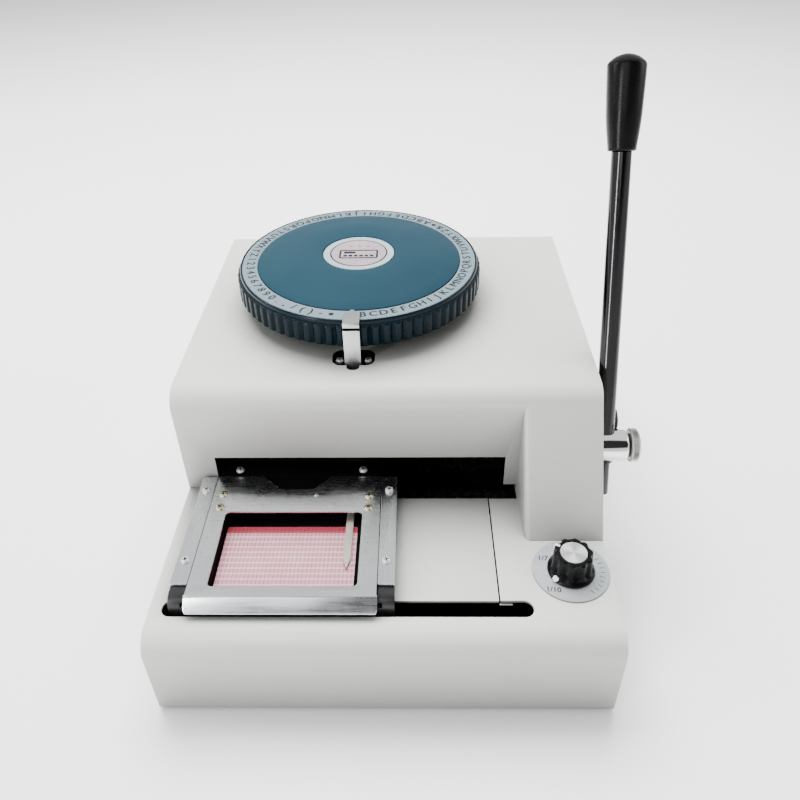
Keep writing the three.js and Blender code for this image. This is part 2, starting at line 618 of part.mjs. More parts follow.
function buildDial() {
  const group = new THREE.Group();
  group.position.set(DIAL_X, DIAL_Y, 0);
  const hubRadius = 18;
  const boreRadius = SPINDLE_RADIUS + 0.4;

  const flutes = toothedOutline(CHARACTERS, [
    [0, RIM_RADIUS - 1.6], [0.25, RIM_RADIUS - 0.3], [0.75, RIM_RADIUS - 0.3]]);
  const crown = turned([
    [0, DIAL_RIM_Z - 6], [RING_OUTER + 1.3, DIAL_RIM_Z - 6], [RING_OUTER + 0.9, RING_TOP_Z - 0.6],
    [RING_OUTER, RING_TOP_Z], [RING_OUTER, RING_TOP_Z - 1.8], [RING_INNER, RING_TOP_Z - 1.8],
    [RING_INNER, RING_TOP_Z + 0.4], [58, 181.2], [46, DIAL_TOP_Z - 0.4], [40, DIAL_TOP_Z],
    [BADGE_RADIUS + 2, DIAL_TOP_Z], [BADGE_RADIUS + 0.5, DIAL_TOP_Z - 1.5], [0, DIAL_TOP_Z - 1.5],
  ], 60);
  place(group, 'dial_wheel', BLUE_PLASTIC, difference(
    union(prismZ(flutes, DIAL_BOTTOM_Z, DIAL_RIM_Z - 1.5), crown),
    barZ(hubRadius + GAP, DIAL_BOTTOM_Z - CUT, DIAL_RIM_Z - 5.4, 0, 0)));

  place(group, 'dial_ring', RING_PLATE, difference(
    barZ(RING_OUTER - GAP, RING_TOP_Z - 1.5, RING_TOP_Z, 0, 0, 60),
    barZ(RING_INNER + 2 * GAP, RING_TOP_Z - 2, RING_TOP_Z + CUT, 0, 0, 60)));
  place(group, 'dial_badge', SILVER_PLATE, turned([
    [0, DIAL_TOP_Z - 1.2], [BADGE_RADIUS, DIAL_TOP_Z - 1.2], [BADGE_RADIUS, DIAL_TOP_Z - 0.5],
    [BADGE_RADIUS - 0.6, DIAL_TOP_Z - 0.2], [0, DIAL_TOP_Z - 0.2]], 40));

  place(group, 'wheel_hub', BRIGHT_STEEL, difference(
    union(
      barZ(hubRadius, WHEEL_HUB_Z, DIAL_RIM_Z - 6, 0, 0),
      barZ(29, TOP_Z + 1.5, DIAL_BOTTOM_Z - GAP, 0, 0)),
    barZ(boreRadius, WHEEL_HUB_Z - CUT, DIAL_RIM_Z - 2, 0, 0, 24)));

  // Each wheel is a comb of fingers, and each finger carries one character.
  const fingers = toothedOutline(CHARACTERS, [
    [0.04, WHEEL_RADIUS], [0.72, WHEEL_RADIUS], [0.78, WHEEL_RADIUS - 10],
    [0.98, WHEEL_RADIUS - 10]]);
  function typeWheel(z0, z1) {
    return prismZ(fingers, z0, z1).subtract(barZ(hubRadius + GAP, z0 - CUT, z1 + CUT, 0, 0));
  }
  place(group, 'upper_type_wheel', BRIGHT_STEEL, typeWheel(79, 90));
  place(group, 'lower_type_wheel', BRIGHT_STEEL, typeWheel(57, 68));

  const notches = toothedOutline(CHARACTERS, [[0.05, 58], [0.45, 58], [0.75, 55.8]]);
  place(group, 'index_gear', CAST_IRON,
    prismZ(notches, 92, 98).subtract(barZ(hubRadius + GAP, 91, 99, 0, 0)));
  return group;
}

// Sprung arm whose tip drops between the teeth of the index gear.
function buildDetent() {
  const group = new THREE.Group();
  const pivotX = DIAL_X - 70;
  const pivotY = DIAL_Y + 40;
  group.position.set(pivotX, pivotY, 0);
  const arm = shapeOf([
    [-5, 4], [-5, -4], [4, -40.5], [11, -39.9], [13.1, -38.76], [11, -37.6], [8, -36], [5, 4]]);
  place(group, 'detent_arm', DARK_STEEL, union(
    prismZ(arm, 92.5, 97.5),
    barZ(7, 92.5, 97.5, 0, 0, 24)));
  return group;
}

// ---------------------------------------------------------------- carriage

function buildCarriage() {
  const group = new THREE.Group();
  group.position.set(CARRIAGE_X, 0, 0);
  const legZ = 59.6;
  const barTopZ = CARRIAGE_TOP_Z - 2 - GAP;
  const barBottomZ = DECK_Z + 1;
  const frontLegY = 28.9;
  const groove = 2.6;
  const sides = { left: -1, right: 1 };
  for (const [side, sign] of Object.entries(sides)) {
    const inner = sign * (RAIL_INNER + 0.4);
    const outer = sign * (RAIL_OUTER - 0.2);
    const x0 = Math.min(inner, outer);
    const x1 = Math.max(inner, outer);
    const outline = new THREE.Shape();
    outline.moveTo(SLOT_FRONT_Y + 1.5, legZ);
    outline.lineTo(SLOT_FRONT_Y + 1.5, barBottomZ - 1);
    outline.quadraticCurveTo(SLOT_FRONT_Y + 2, barTopZ, RAIL_FRONT_Y + 1, barTopZ);
    outline.lineTo(RAIL_BACK_Y - 0.4, barTopZ);
    outline.lineTo(RAIL_BACK_Y - 0.4, legZ);
    outline.lineTo(REAR_ROD_Y - 4, legZ);
    outline.lineTo(REAR_ROD_Y - 4, barBottomZ);
    outline.lineTo(frontLegY, barBottomZ);
    outline.lineTo(frontLegY, legZ);
    const grooveX0 = sign > 0 ? x0 - CUT : x1 - groove;
    const grooveX1 = sign > 0 ? x0 + groove : x1 + CUT;
    place(group, `${side}_side_bar`, BLACK_PLASTIC, difference(
      prismX(outline, x0, x1, 6),
      box(grooveX0, grooveX1, 20, 130, 69.6, 72.6)));

    const railX0 = Math.min(sign * RAIL_INNER, sign * RAIL_OUTER);
    const railX1 = Math.max(sign * RAIL_INNER, sign * RAIL_OUTER);
    place(group, `${side}_rail`, BRIGHT_STEEL, box(
      railX0, railX1, RAIL_FRONT_Y, RAIL_BACK_Y, CARRIAGE_TOP_Z - 2, CARRIAGE_TOP_Z));
  }

  const blockX = RAIL_OUTER - 0.2;
  const boreRadius = ROD_RADIUS + 0.35;
  place(group, 'front_slide_block', CAST_IRON, difference(
    box(-blockX, blockX, 19.4, 31.4, 43, legZ - GAP),
    barX(boreRadius, -blockX - CUT, blockX + CUT, FRONT_ROD_Y, ROD_Z, 16)));
  place(group, 'rear_slide_block', CAST_IRON, difference(
    box(-blockX, blockX, 114.5, 127, 43, legZ - GAP),
    barX(boreRadius, -blockX - CUT, blockX + CUT, REAR_ROD_Y, ROD_Z, 16)));

  // Spacing rack: seven teeth to the inch along its top, ten to the inch along its bottom.
  const inch = 25.4;
  const rackLength = 94;
  const rackStart = -58;
  const rackBack = 127 + GAP;
  const topZ = 56;
  const bottomZ = 43.5;
  const toothDepth = 1.5;
  const points = [];
  function teeth(pitch, baseZ, depth) {
    const row = [];
    const count = Math.floor(rackLength / pitch);
    for (let tooth = 0; tooth < count; tooth += 1) {
      const x = rackStart + tooth * pitch;
      row.push([x, baseZ], [x + pitch * 0.85, baseZ + depth], [x + pitch * 0.95, baseZ]);
    }
    return row;
  }
  points.push(...teeth(inch / 10, bottomZ, -toothDepth));
  points.push([rackStart + rackLength, bottomZ], [rackStart + rackLength, topZ]);
  points.push(...teeth(inch / 7, topZ, toothDepth).reverse());
  const rack = new THREE.ExtrudeGeometry(shapeOf(points), { depth: 3, bevelEnabled: false });
  rack.rotateX(Math.PI / 2);
  rack.translate(0, rackBack + 3, 0);
  place(group, 'spacing_rack', BRIGHT_STEEL, solid(rack));
  return group;
}

// Pawl that feeds the rack one tooth at each stroke, shown just clear of the teeth.
function buildPawl() {
  const group = new THREE.Group();
  group.position.set(-30, 138, 0);
  place(group, 'spacing_pawl', DARK_STEEL, union(
    prismX(shapeOf([
      [-10.4, 58.1], [-7, 58.1], [-4, 55], [-3, 45], [3, 45], [3, 57], [-3, 61], [-10.4, 60]]),
    -5, 5),
    barX(4, -5, 5, 0, 45, 16)));
  return group;
}

// ---------------------------------------------------------------- card frame

function buildCardFrame() {
  const group = new THREE.Group();
  group.position.set(CARRIAGE_X, 0, 0);
  const plateBottom = CARRIAGE_TOP_Z - 1.6;
  const bendY = 24.4;
  const backY = 125;
  const windowHalf = 44.9;
  const windowFront = 31.9;
  const windowBack = 92;

  // Plate with its front edge folded down as a finger lip, and a thumb notch at the rear.
  const thickness = 1.6;
  const lipY = 18;
  const lipZ = 70.5;
  const fold = prismX(shapeOf([
    [bendY, CARRIAGE_TOP_Z], [lipY, lipZ], [lipY + 1.3, lipZ - 0.9], [bendY + 1.2, plateBottom],
    [windowFront - 1, plateBottom], [windowFront - 1, CARRIAGE_TOP_Z]]), -57.6, 57.6);
  const lipCorner = (sign) => prismZ(shapeOf([
    [sign * 53, 15], [sign * 57.8, 21.4], [sign * 57.8, 24.6], [sign * FRAME_HALF, 27],
    [sign * FRAME_HALF, 34], [sign * 62, 34], [sign * 62, 15]]), 60, 90);
  const notch = prismZ(shapeOf([
    [-24.6, backY + 1], [-24.2, backY - 1], [-10.5, backY - 12.6], [8.8, backY - 12.6],
    [21, backY - 1], [21.4, backY + 1]]), 60, 90);
  place(group, 'card_frame', BRIGHT_STEEL, difference(
    union(
      fold,
      box(-FRAME_HALF, FRAME_HALF, windowFront - 2, backY, plateBottom, CARRIAGE_TOP_Z)),
    prismZ(roundedRectangle(-windowHalf, windowHalf, windowFront, windowBack, 3.2), 60, 90),
    lipCorner(-1), lipCorner(1), notch));

  // Tray under the window, open at the rear so that the fixed needle can lie over the grid.
  const trayHalf = 55.4;
  const wallInner = 45.2;
  const trayFloor = DECK_Z + 0.6;
  const trayTop = plateBottom - GAP;
  const trayBack = 104.5;
  const tongue = 59;
  place(group, 'grid_tray', BLACK_PLASTIC, union(
    box(-trayHalf, trayHalf, 27.5, 88.5, trayFloor, trayFloor + 1.1),
    box(-trayHalf, -wallInner, 27.5, trayBack, trayFloor, trayTop),
    box(wallInner, trayHalf, 27.5, trayBack, trayFloor, trayTop),
    box(-trayHalf, trayHalf, 27.5, windowFront - 0.2, trayFloor, trayTop),
    box(-tongue, -trayHalf + 1, 35, trayBack, 70.2, 72),
    box(trayHalf - 1, tongue, 35, trayBack, 70.2, 72)));
  const sheetLeft = -43.9;
  place(group, 'grid_sheet', GRID_PRINT, box(
    sheetLeft, sheetLeft + CARD_LENGTH, GRID_FRONT_Y, GRID_FRONT_Y + CARD_WIDTH,
    trayFloor + 1.4, trayFloor + 1.7));

  // Holder that carries the card between the type wheels, and the clamp above it.
  const holderBack = CARD_OFFSET_Y + GRID_FRONT_Y + CARD_WIDTH + 4;
  const cardFront = CARD_OFFSET_Y + GRID_FRONT_Y;
  const openLeft = sheetLeft + 0.8;
  const openRight = sheetLeft + CARD_LENGTH - 0.8;
  const opening = box(openLeft, openRight, cardFront + 2, holderBack - 5, 60, 90);
  place(group, 'card_holder', DARK_STEEL, union(
    difference(
      box(-trayHalf, trayHalf, trayBack + GAP, holderBack, CARD_PLANE_Z - 2, CARD_PLANE_Z - 0.6),
      opening),
    box(-trayHalf, trayHalf, trayBack + GAP, 140, CARD_PLANE_Z - 2, trayTop),
    box(-trayHalf, trayHalf, backY + GAP, 139, trayTop - 1, CARRIAGE_TOP_Z + 0.4)));
  place(group, 'card_clamp', BRIGHT_STEEL, difference(
    box(-trayHalf + 2, trayHalf - 2, 140 + GAP, holderBack, CARD_PLANE_Z + 0.5,
      CARD_PLANE_Z + 1.7),
    opening));
  return group;
}

// ---------------------------------------------------------------- pitch knob

function buildPitchKnob() {
  const group = new THREE.Group();
  group.position.set(KNOB_X, KNOB_Y, 0);
  group.rotation.z = KNOB_POINTS;
  const skirtZ = DECK_Z + 1.4;
  const lobes = toothedOutline(10, [
    [0, 10.2], [0.16, 10.6], [0.3, 11.6], [0.5, 12.1], [0.7, 11.6], [0.84, 10.6]]);
  place(group, 'pitch_knob', BLACK_PLASTIC, union(
    turned([
      [0, skirtZ], [14.6, skirtZ], [14.6, skirtZ + 1], [13.4, skirtZ + 2.6], [0, skirtZ + 2.6]],
    40),
    prismZ(lobes, skirtZ + 2, DECK_Z + 16.6),
    barZ(9.8, DECK_Z + 16, DECK_Z + 17.6, 0, 0, 40),
    barZ(3, 48, skirtZ + 1, 0, 0, 16)));
  return group;
}

// ---------------------------------------------------------------- machine

const machine = new THREE.Group();
machine.add(
  buildHousing(), buildFrame(), buildPointers(), buildLever(), buildLinkage(), buildDial(),
  buildDetent(), buildCarriage(), buildPawl(), buildCardFrame(), buildPitchKnob());
machine.position.set((HALF_WIDTH - KNOB_END_X) / 2, -DEPTH / 2, 0);

const embosser = new THREE.Group();
embosser.name = 'card_embosser';
embosser.add(machine);

export default embosser;
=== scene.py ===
"""Looks of the manual card embosser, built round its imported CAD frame.

Geometry is written in millimetres in the housing's own frame: x from the middle of the housing,
y back from its front face and z up from the table. put() moves it into the row frame in metres.
"""
import math
from functools import partial
import bmesh
import bpy
from mathutils import Matrix, Vector


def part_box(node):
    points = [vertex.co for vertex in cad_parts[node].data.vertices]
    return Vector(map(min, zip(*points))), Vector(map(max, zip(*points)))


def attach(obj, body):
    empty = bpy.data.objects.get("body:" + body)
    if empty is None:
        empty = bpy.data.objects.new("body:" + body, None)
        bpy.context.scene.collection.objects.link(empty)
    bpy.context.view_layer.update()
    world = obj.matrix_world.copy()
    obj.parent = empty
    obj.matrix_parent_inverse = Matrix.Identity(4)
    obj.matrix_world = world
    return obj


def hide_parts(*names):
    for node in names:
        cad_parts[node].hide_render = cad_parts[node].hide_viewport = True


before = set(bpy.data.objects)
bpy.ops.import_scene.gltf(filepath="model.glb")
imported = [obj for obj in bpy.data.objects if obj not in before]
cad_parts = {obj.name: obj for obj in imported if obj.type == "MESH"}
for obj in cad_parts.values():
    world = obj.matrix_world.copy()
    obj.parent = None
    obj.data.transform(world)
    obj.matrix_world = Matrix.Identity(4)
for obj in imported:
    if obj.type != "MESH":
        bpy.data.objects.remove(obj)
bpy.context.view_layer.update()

MM = 0.001
HALF_WIDTH = 140.0
base_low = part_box("base_shell")[0]
OFFSET = Vector((base_low.x / MM + HALF_WIDTH, base_low.y / MM, 0.0))


def node_box(name):
    """Low and high corner of a CAD node in the housing's frame, in millimetres."""
    low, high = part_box(name)
    return low / MM - OFFSET, high / MM - OFFSET


def centre(name):
    low, high = node_box(name)
    return (low + high) / 2


# ------------------------------------------------------------------ sizes taken from the frame

deck_z = node_box("base_shell")[1].z
foot_z = node_box("base_shell")[0].z
depth = node_box("base_shell")[1].y
top_z = node_box("head_cover")[1].z
head_foot_z = node_box("head_cover")[0].z
column_foot_y = node_box("head_cover")[0].y
dial = centre("dial_wheel")
rim_radius = (node_box("dial_wheel")[1].x - node_box("dial_wheel")[0].x) / 2
dial_low_z = node_box("dial_wheel")[0].z
dial_top_z = node_box("dial_wheel")[1].z
ring_top_z = node_box("dial_ring")[1].z
knob = centre("pitch_knob")
carriage_x = (node_box("left_rail")[0].x + node_box("right_rail")[1].x) / 2
plate_z = node_box("card_frame")[1].z
shaft = centre("clamp_knob")
lever_x = centre("lever_rod").x

SHEET = 2.0                      # thickness of the case
EDGE_RADIUS = 14.0               # rolled front edges of base and head
HEAD_Y = 126.0                   # front face of the head
COLUMN_X = 89.5                  # left side of the leaning column
INSIDE_X = HALF_WIDTH - SHEET
MOUTH_LEFT, MOUTH_RIGHT, MOUTH_TOP = -117.8, 80.3, 94.5
POCKET_Y = 168.6                 # screws beside the index strip
CHARACTERS = 72                  # on the ring, with a flute of the rim under each
WORLD_STRENGTH = 1.05


# ------------------------------------------------------------------ materials

class Nodes:
    """Short-hand for the node tree of a material or a world."""

    def __init__(self, owner, space):
        owner.use_nodes = True
        self.tree = owner.node_tree
        self.tree.nodes.clear()
        self.coordinates = self.tree.nodes.new("ShaderNodeTexCoord").outputs[space]

    def link(self, source, target):
        self.tree.links.new(source, target)

    def feed(self, value, target):
        """Connects a socket, or sets a constant."""
        if isinstance(value, bpy.types.NodeSocket):
            self.link(value, target)
        else:
            target.default_value = value

    def stretched(self, stretch):
        mapping = self.tree.nodes.new("ShaderNodeMapping")
        self.link(self.coordinates, mapping.inputs["Vector"])
        mapping.inputs["Scale"].default_value = stretch
        return mapping.outputs[0]

    def split(self):
        """The x, y and z of the coordinates."""
        node = self.tree.nodes.new("ShaderNodeSeparateXYZ")
        self.link(self.coordinates, node.inputs[0])
        return node.outputs

    def noise(self, scale, detail=3.0, stretch=(1, 1, 1)):
        node = self.tree.nodes.new("ShaderNodeTexNoise")
        self.link(self.stretched(stretch), node.inputs["Vector"])
        node.inputs["Scale"].default_value = scale
        node.inputs["Detail"].default_value = detail
        return node.outputs["Fac"]

    def ramp(self, fac, low, high, start=0.3, end=0.7, blend="LINEAR"):
        node = self.tree.nodes.new("ShaderNodeMapRange")
        node.interpolation_type = blend
        self.link(fac, node.inputs["Value"])
        node.inputs["From Min"].default_value = start
        node.inputs["From Max"].default_value = end
        node.inputs["To Min"].default_value = low
        node.inputs["To Max"].default_value = high
        return node.outputs[0]

    def math(self, operation, first, second=0.0):
        node = self.tree.nodes.new("ShaderNodeMath")
        node.operation = operation
        self.feed(first, node.inputs[0])
        self.feed(second, node.inputs[1])
        return node.outputs[0]

    def scaled(self, color, factor):
        node = self.tree.nodes.new("ShaderNodeVectorMath")
        node.operation = "SCALE"
        self.link(color, node.inputs[0])
        self.link(factor, node.inputs["Scale"])
        return node.outputs[0]

    def mix(self, fac, first, second):
        node = self.tree.nodes.new("ShaderNodeMix")
        node.data_type = "RGBA"
        self.feed(fac, node.inputs["Factor"])
        for value, target in ((first, node.inputs["A"]), (second, node.inputs["B"])):
            self.feed(value if isinstance(value, bpy.types.NodeSocket) else (*value, 1.0), target)
        return node.outputs["Result"]

    def bump(self, height, strength, distance=0.0002):
        node = self.tree.nodes.new("ShaderNodeBump")
        node.inputs["Strength"].default_value = strength
        node.inputs["Distance"].default_value = distance
        self.link(height, node.inputs["Height"])
        return node.outputs[0]

    def pointiness(self):
        return self.tree.nodes.new("ShaderNodeNewGeometry").outputs["Pointiness"]

    def hidden(self, distance):
        """1 on open surfaces, falling towards 0 in corners and under overhangs."""
        node = self.tree.nodes.new("ShaderNodeAmbientOcclusion")
        node.samples = 6
        node.inputs["Distance"].default_value = distance
        return node.outputs["AO"]


class Graph(Nodes):
    """One node material."""

    def __init__(self, name):
        self.material = bpy.data.materials.new(name)
        super().__init__(self.material, "Object")
        self.bsdf = self.tree.nodes.new("ShaderNodeBsdfPrincipled")
        output = self.tree.nodes.new("ShaderNodeOutputMaterial")
        self.link(self.bsdf.outputs[0], output.inputs[0])

    def done(self, color, roughness, metallic=0.0, normal=None, **settings):
        self.link(color, self.bsdf.inputs["Base Color"])
        self.feed(roughness, self.bsdf.inputs["Roughness"])
        self.bsdf.inputs["Metallic"].default_value = metallic
        if normal is not None:
            self.link(normal, self.bsdf.inputs["Normal"])
        for key, value in settings.items():
            self.bsdf.inputs[key.replace("_", " ")].default_value = value
        return self.material


def finish_of(name, color, tint, rough, metallic=0.0, grain=900, bump=0.1, stretch=(1, 1, 1),
              patch=18, wear=None, painted_corner_shade=None, **settings):
    """A surface with two close colours in patches and a fine grain.

    wear is the colour of rubbed edges. The corner shade argument is how much painted shade darkens
    the surface where other surfaces stand close: shade painted in for this light, not a stain on
    the object.
    """
    g = Graph(name)
    patches = g.noise(patch, 4.0)
    fine = g.noise(grain, 3.0, stretch)
    surface = g.mix(g.ramp(patches, 0.0, 1.0), color, tint)
    surface = g.scaled(surface, g.ramp(fine, 0.94, 1.06))
    # Painted shade: the surface darkens where other surfaces stand close.
    if painted_corner_shade is not None:
        surface = g.scaled(surface, g.ramp(g.hidden(0.11), 1.0 - painted_corner_shade, 1.0, 0.40, 0.97))
    if wear is not None:
        edge = g.ramp(g.pointiness(), 0.0, 1.0, 0.52, 0.62)
        broken = g.ramp(g.noise(260, 5.0), 0.0, 1.0, 0.5, 0.62)
        surface = g.mix(g.math("MULTIPLY", edge, broken), surface, wear)
    blotch = g.ramp(g.noise(patch * 3.1, 4.0), *rough)
    roughness = g.math("ADD", blotch, g.ramp(fine, -0.03, 0.03))
    return g.done(surface, roughness, metallic, g.bump(fine, bump), **settings)


def grid_print():
    """The lined sheet under the window: a lattice of letter spaces with a red band at the rear."""
    low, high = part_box("grid_sheet")
    g = Graph("grid_print")
    across, back, up = g.split()
    x = g.math("SUBTRACT", across, low.x)
    y = g.math("SUBTRACT", high.y, back)

    def line(value, pitch, width):
        phase = g.math("FRACT", g.math("DIVIDE", value, pitch))
        off = g.math("ABSOLUTE", g.math("SUBTRACT", phase, 0.5))
        return g.math("GREATER_THAN", off, 0.5 - width / pitch / 2)

    inch = 0.0254
    columns = line(x, inch / 10, 0.0007)
    rows = line(y, inch / 6, 0.0012)
    fine_rows = line(y, inch / 24, 0.0003)
    paper = g.mix(g.ramp(g.noise(60), 0.0, 1.0), (0.42, 0.20, 0.235), (0.46, 0.25, 0.28))
    inked = g.mix(g.math("MULTIPLY", columns, 0.75), paper, (0.30, 0.055, 0.08))
    inked = g.mix(g.math("MULTIPLY", fine_rows, 0.35), inked, (0.34, 0.08, 0.11))
    inked = g.mix(g.math("MULTIPLY", rows, 0.5), inked, (0.60, 0.50, 0.52))
    band_width = 0.0052
    band = g.math("LESS_THAN", y, band_width)
    inked = g.mix(g.math("MULTIPLY", band, 0.9), inked, (0.22, 0.012, 0.026))
    rough = g.ramp(g.noise(90), 0.22, 0.34)
    return g.done(inked, rough, 0.0, g.bump(g.noise(300), 0.03), Coat_Weight=0.35,
                  Coat_Roughness=0.08)


def spun_with_painted_rays(name, color, tint, about, rough):
    """Metal turned on a lathe, with three painted highlight rays and fine rings about a point."""
    g = Graph(name)
    across, back, up = g.split()
    dx = g.math("SUBTRACT", across, about.x)
    dy = g.math("SUBTRACT", back, about.y)
    angle = g.math("ARCTAN2", dy, dx)
    radius = g.math("SQRT", g.math("ADD", g.math("MULTIPLY", dx, dx), g.math("MULTIPLY", dy, dy)))
    ray_count, first_ray, rings_per_metre = 3.0, 0.9, 26000.0
    highlight_rays = g.math("SINE", g.math("ADD", g.math("MULTIPLY", angle, ray_count), first_ray))
    rings = g.math("SINE", g.math("MULTIPLY", radius, rings_per_metre))
    # The rays are painted highlights: the bright tint between darker metal.
    surface = g.mix(g.ramp(highlight_rays, 0.0, 1.0, -0.9, 0.9), color, tint)
    return g.done(surface, g.ramp(g.noise(500), *rough), 0.75, g.bump(rings, 0.12, 0.00005))


def grey(level):
    return (level, level, level)


# The housing paint carries painted shade: it is darker in corners and under overhangs.
paint = finish_of("housing_paint", (0.560, 0.572, 0.540), (0.548, 0.562, 0.530), (0.40, 0.46),
                  grain=1800, bump=0.03, patch=5, painted_corner_shade=0.60, Coat_Weight=0.08,
                  Coat_Roughness=0.3)
# Near-black matte: the colour of black parts, and painted shade on the insides of the case, in
# recesses and on pieces seen through the mouth and slots.
black_and_painted_shade = finish_of("matte_black_and_painted_shade", grey(0.0020), grey(0.0032), (0.7, 0.8), grain=300,
                         bump=0.02, Specular_IOR_Level=0.03)
brushed = (0.80, 0.82, 0.84), (0.72, 0.74, 0.765)
plate_steel = finish_of("plate_steel", *brushed, (0.25, 0.31), 1.0, grain=700, bump=0.03,
                        stretch=(0.06, 1.4, 1), patch=24)
rail_steel = finish_of("rail_steel", *brushed, (0.24, 0.30), 1.0, grain=700, bump=0.03,
                       stretch=(1.4, 0.06, 1), patch=22)
zinc = finish_of("zinc", (0.70, 0.71, 0.72), (0.62, 0.63, 0.64), (0.20, 0.30), 0.55, bump=0.04,
                 patch=60)
steel = (0.66, 0.67, 0.68), (0.60, 0.61, 0.62)
bright = finish_of("bright_steel", *steel, (0.16, 0.26), 1.0, bump=0.05, patch=40)
strip_metal = finish_of("strip_metal", *steel, (0.40, 0.48), 1.0, bump=0.05, patch=60)
chrome = finish_of("chrome", (0.90, 0.90, 0.91), (0.86, 0.865, 0.87), (0.04, 0.09), 1.0, grain=1200,
                   bump=0.01, patch=30)
# The lever rod's near-black colour is a painted dark reflection on bright chrome.
chrome_with_painted_dark_reflection = finish_of("chrome_with_painted_dark_reflection", (0.048, 0.048, 0.050), (0.040, 0.040, 0.042), (0.11, 0.17),
                       1.0, bump=0.05, stretch=(1, 1, 0.06), patch=20)
knurl_metal = finish_of("knurled_nickel", (0.62, 0.62, 0.60), (0.54, 0.54, 0.52), (0.34, 0.46), 1.0,
                        grain=1200, bump=0.15, patch=60, wear=(0.80, 0.80, 0.79))
dark_steel = finish_of("blackened_steel", (0.008, 0.008, 0.009), (0.014, 0.014, 0.015),
                       (0.42, 0.55), bump=0.04, patch=12)
iron = finish_of("machined_iron", (0.13, 0.13, 0.135), (0.09, 0.09, 0.092), (0.42, 0.58), 0.85,
                 grain=500, bump=0.2, patch=35, wear=grey(0.33))
brass = finish_of("brass", (0.78, 0.70, 0.50), (0.70, 0.61, 0.42), (0.18, 0.28), 1.0, bump=0.06,
                  patch=60)
black_gloss = finish_of("black_gloss", (0.0022, 0.0022, 0.0026), (0.0036, 0.0036, 0.004),
                        (0.22, 0.30), grain=1400, bump=0.015, patch=25, Specular_IOR_Level=0.13)
black_satin = finish_of("black_satin", (0.006, 0.006, 0.007), (0.011, 0.011, 0.012), (0.30, 0.42),
                        grain=1100, bump=0.04, patch=25)
rubber = finish_of("rubber", (0.016, 0.016, 0.016), (0.026, 0.025, 0.024), (0.55, 0.72), grain=1600,
                   bump=0.35, patch=40)
blue_top = finish_of("dial_blue", (0.0068, 0.0290, 0.0440), (0.0082, 0.0335, 0.0500), (0.42, 0.52),
                     grain=1900, bump=0.06, patch=9, Specular_IOR_Level=0.13)
# The rim's darker blue is painted shade: the dial is one blue plastic, darkened here on the rim's
# side and outer lip.
rim_blue_painted_shade = finish_of("dial_rim_painted_shade", (0.0012, 0.0068, 0.0115), (0.0018, 0.0090, 0.0145),
                     (0.20, 0.28), grain=1600, bump=0.03, patch=16, Specular_IOR_Level=0.12)
ring_print = finish_of("ring_plate", (0.135, 0.180, 0.200), (0.120, 0.165, 0.185), (0.36, 0.46),
                       bump=0.02, patch=14, Specular_IOR_Level=0.2)
ink = finish_of("ink", (0.003, 0.006, 0.011), (0.005, 0.009, 0.015), (0.40, 0.52), bump=0.03)
silver_print = finish_of("badge_silver", (0.30, 0.36, 0.39), (0.27, 0.33, 0.36), (0.28, 0.38),
                         bump=0.02, patch=40)
pink_print = finish_of("badge_centre", (0.30, 0.255, 0.275), (0.27, 0.23, 0.25), (0.30, 0.42),
                       bump=0.02, patch=60)
mark_red = finish_of("badge_mark", (0.32, 0.10, 0.14), (0.27, 0.08, 0.12), (0.36, 0.46), bump=0.03)
needle_metal = finish_of("needle", (0.34, 0.315, 0.27), (0.30, 0.275, 0.235), (0.30, 0.40), 0.2,
                         bump=0.06, patch=80)
clear_plate = finish_of("scale_plate", (0.28, 0.305, 0.315), (0.26, 0.285, 0.295), (0.20, 0.30),
                        bump=0.02, patch=50)
white_ink = finish_of("white_ink", (0.75, 0.75, 0.74), (0.68, 0.68, 0.67), (0.36, 0.46), bump=0.04)
cap_metal = spun_with_painted_rays("knob_cap", (0.52, 0.53, 0.54), (0.93, 0.94, 0.95),
                 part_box("pitch_knob")[0].lerp(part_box("pitch_knob")[1], 0.5), (0.16, 0.26))
grid_ink = grid_print()


# ------------------------------------------------------------------ mesh helpers

def arc(cx, cy, radius, start, end, steps):
    """Points on an arc, angles in degrees."""
    return [(cx + radius * math.cos(math.radians(start + (end - start) * i / steps)),
             cy + radius * math.sin(math.radians(start + (end - start) * i / steps)))
            for i in range(steps + 1)]


def rounded(x0, x1, y0, y1, radius, steps=8):
    return (arc(x1 - radius, y0 + radius, radius, -90, 0, steps)
            + arc(x1 - radius, y1 - radius, radius, 0, 90, steps)
            + arc(x0 + radius, y1 - radius, radius, 90, 180, steps)
            + arc(x0 + radius, y0 + radius, radius, 180, 270, steps))


def disc(cx, cy, radius, steps=64):
    return arc(cx, cy, radius, 0, 360 * (1 - 1 / steps), steps - 1)


AXES = {
    "x": lambda u, v, w: (w, u, v),
    "y": lambda u, v, w: (u, w, v),
    "z": lambda u, v, w: (u, v, w),
}


def prism(outline, axis, low, high):
    """Outline pushed along an axis: (y, z) along x, (x, z) along y or (x, y) along z."""
    place = AXES[axis]
    bm = bmesh.new()
    ends = [[bm.verts.new(place(u, v, w)) for u, v in outline] for w in (low, high)]
    count = len(outline)
    for ring in ends:
        bm.faces.new(ring)
    for i in range(count):
        j = (i + 1) % count
        bm.faces.new((ends[0][i], ends[0][j], ends[1][j], ends[1][i]))
    bmesh.ops.recalc_face_normals(bm, faces=bm.faces)
    return bm


def block(x0, x1, y0, y1, z0, z1):
    return prism([(x0, y0), (x1, y0), (x1, y1), (x0, y1)], "z", z0, z1)


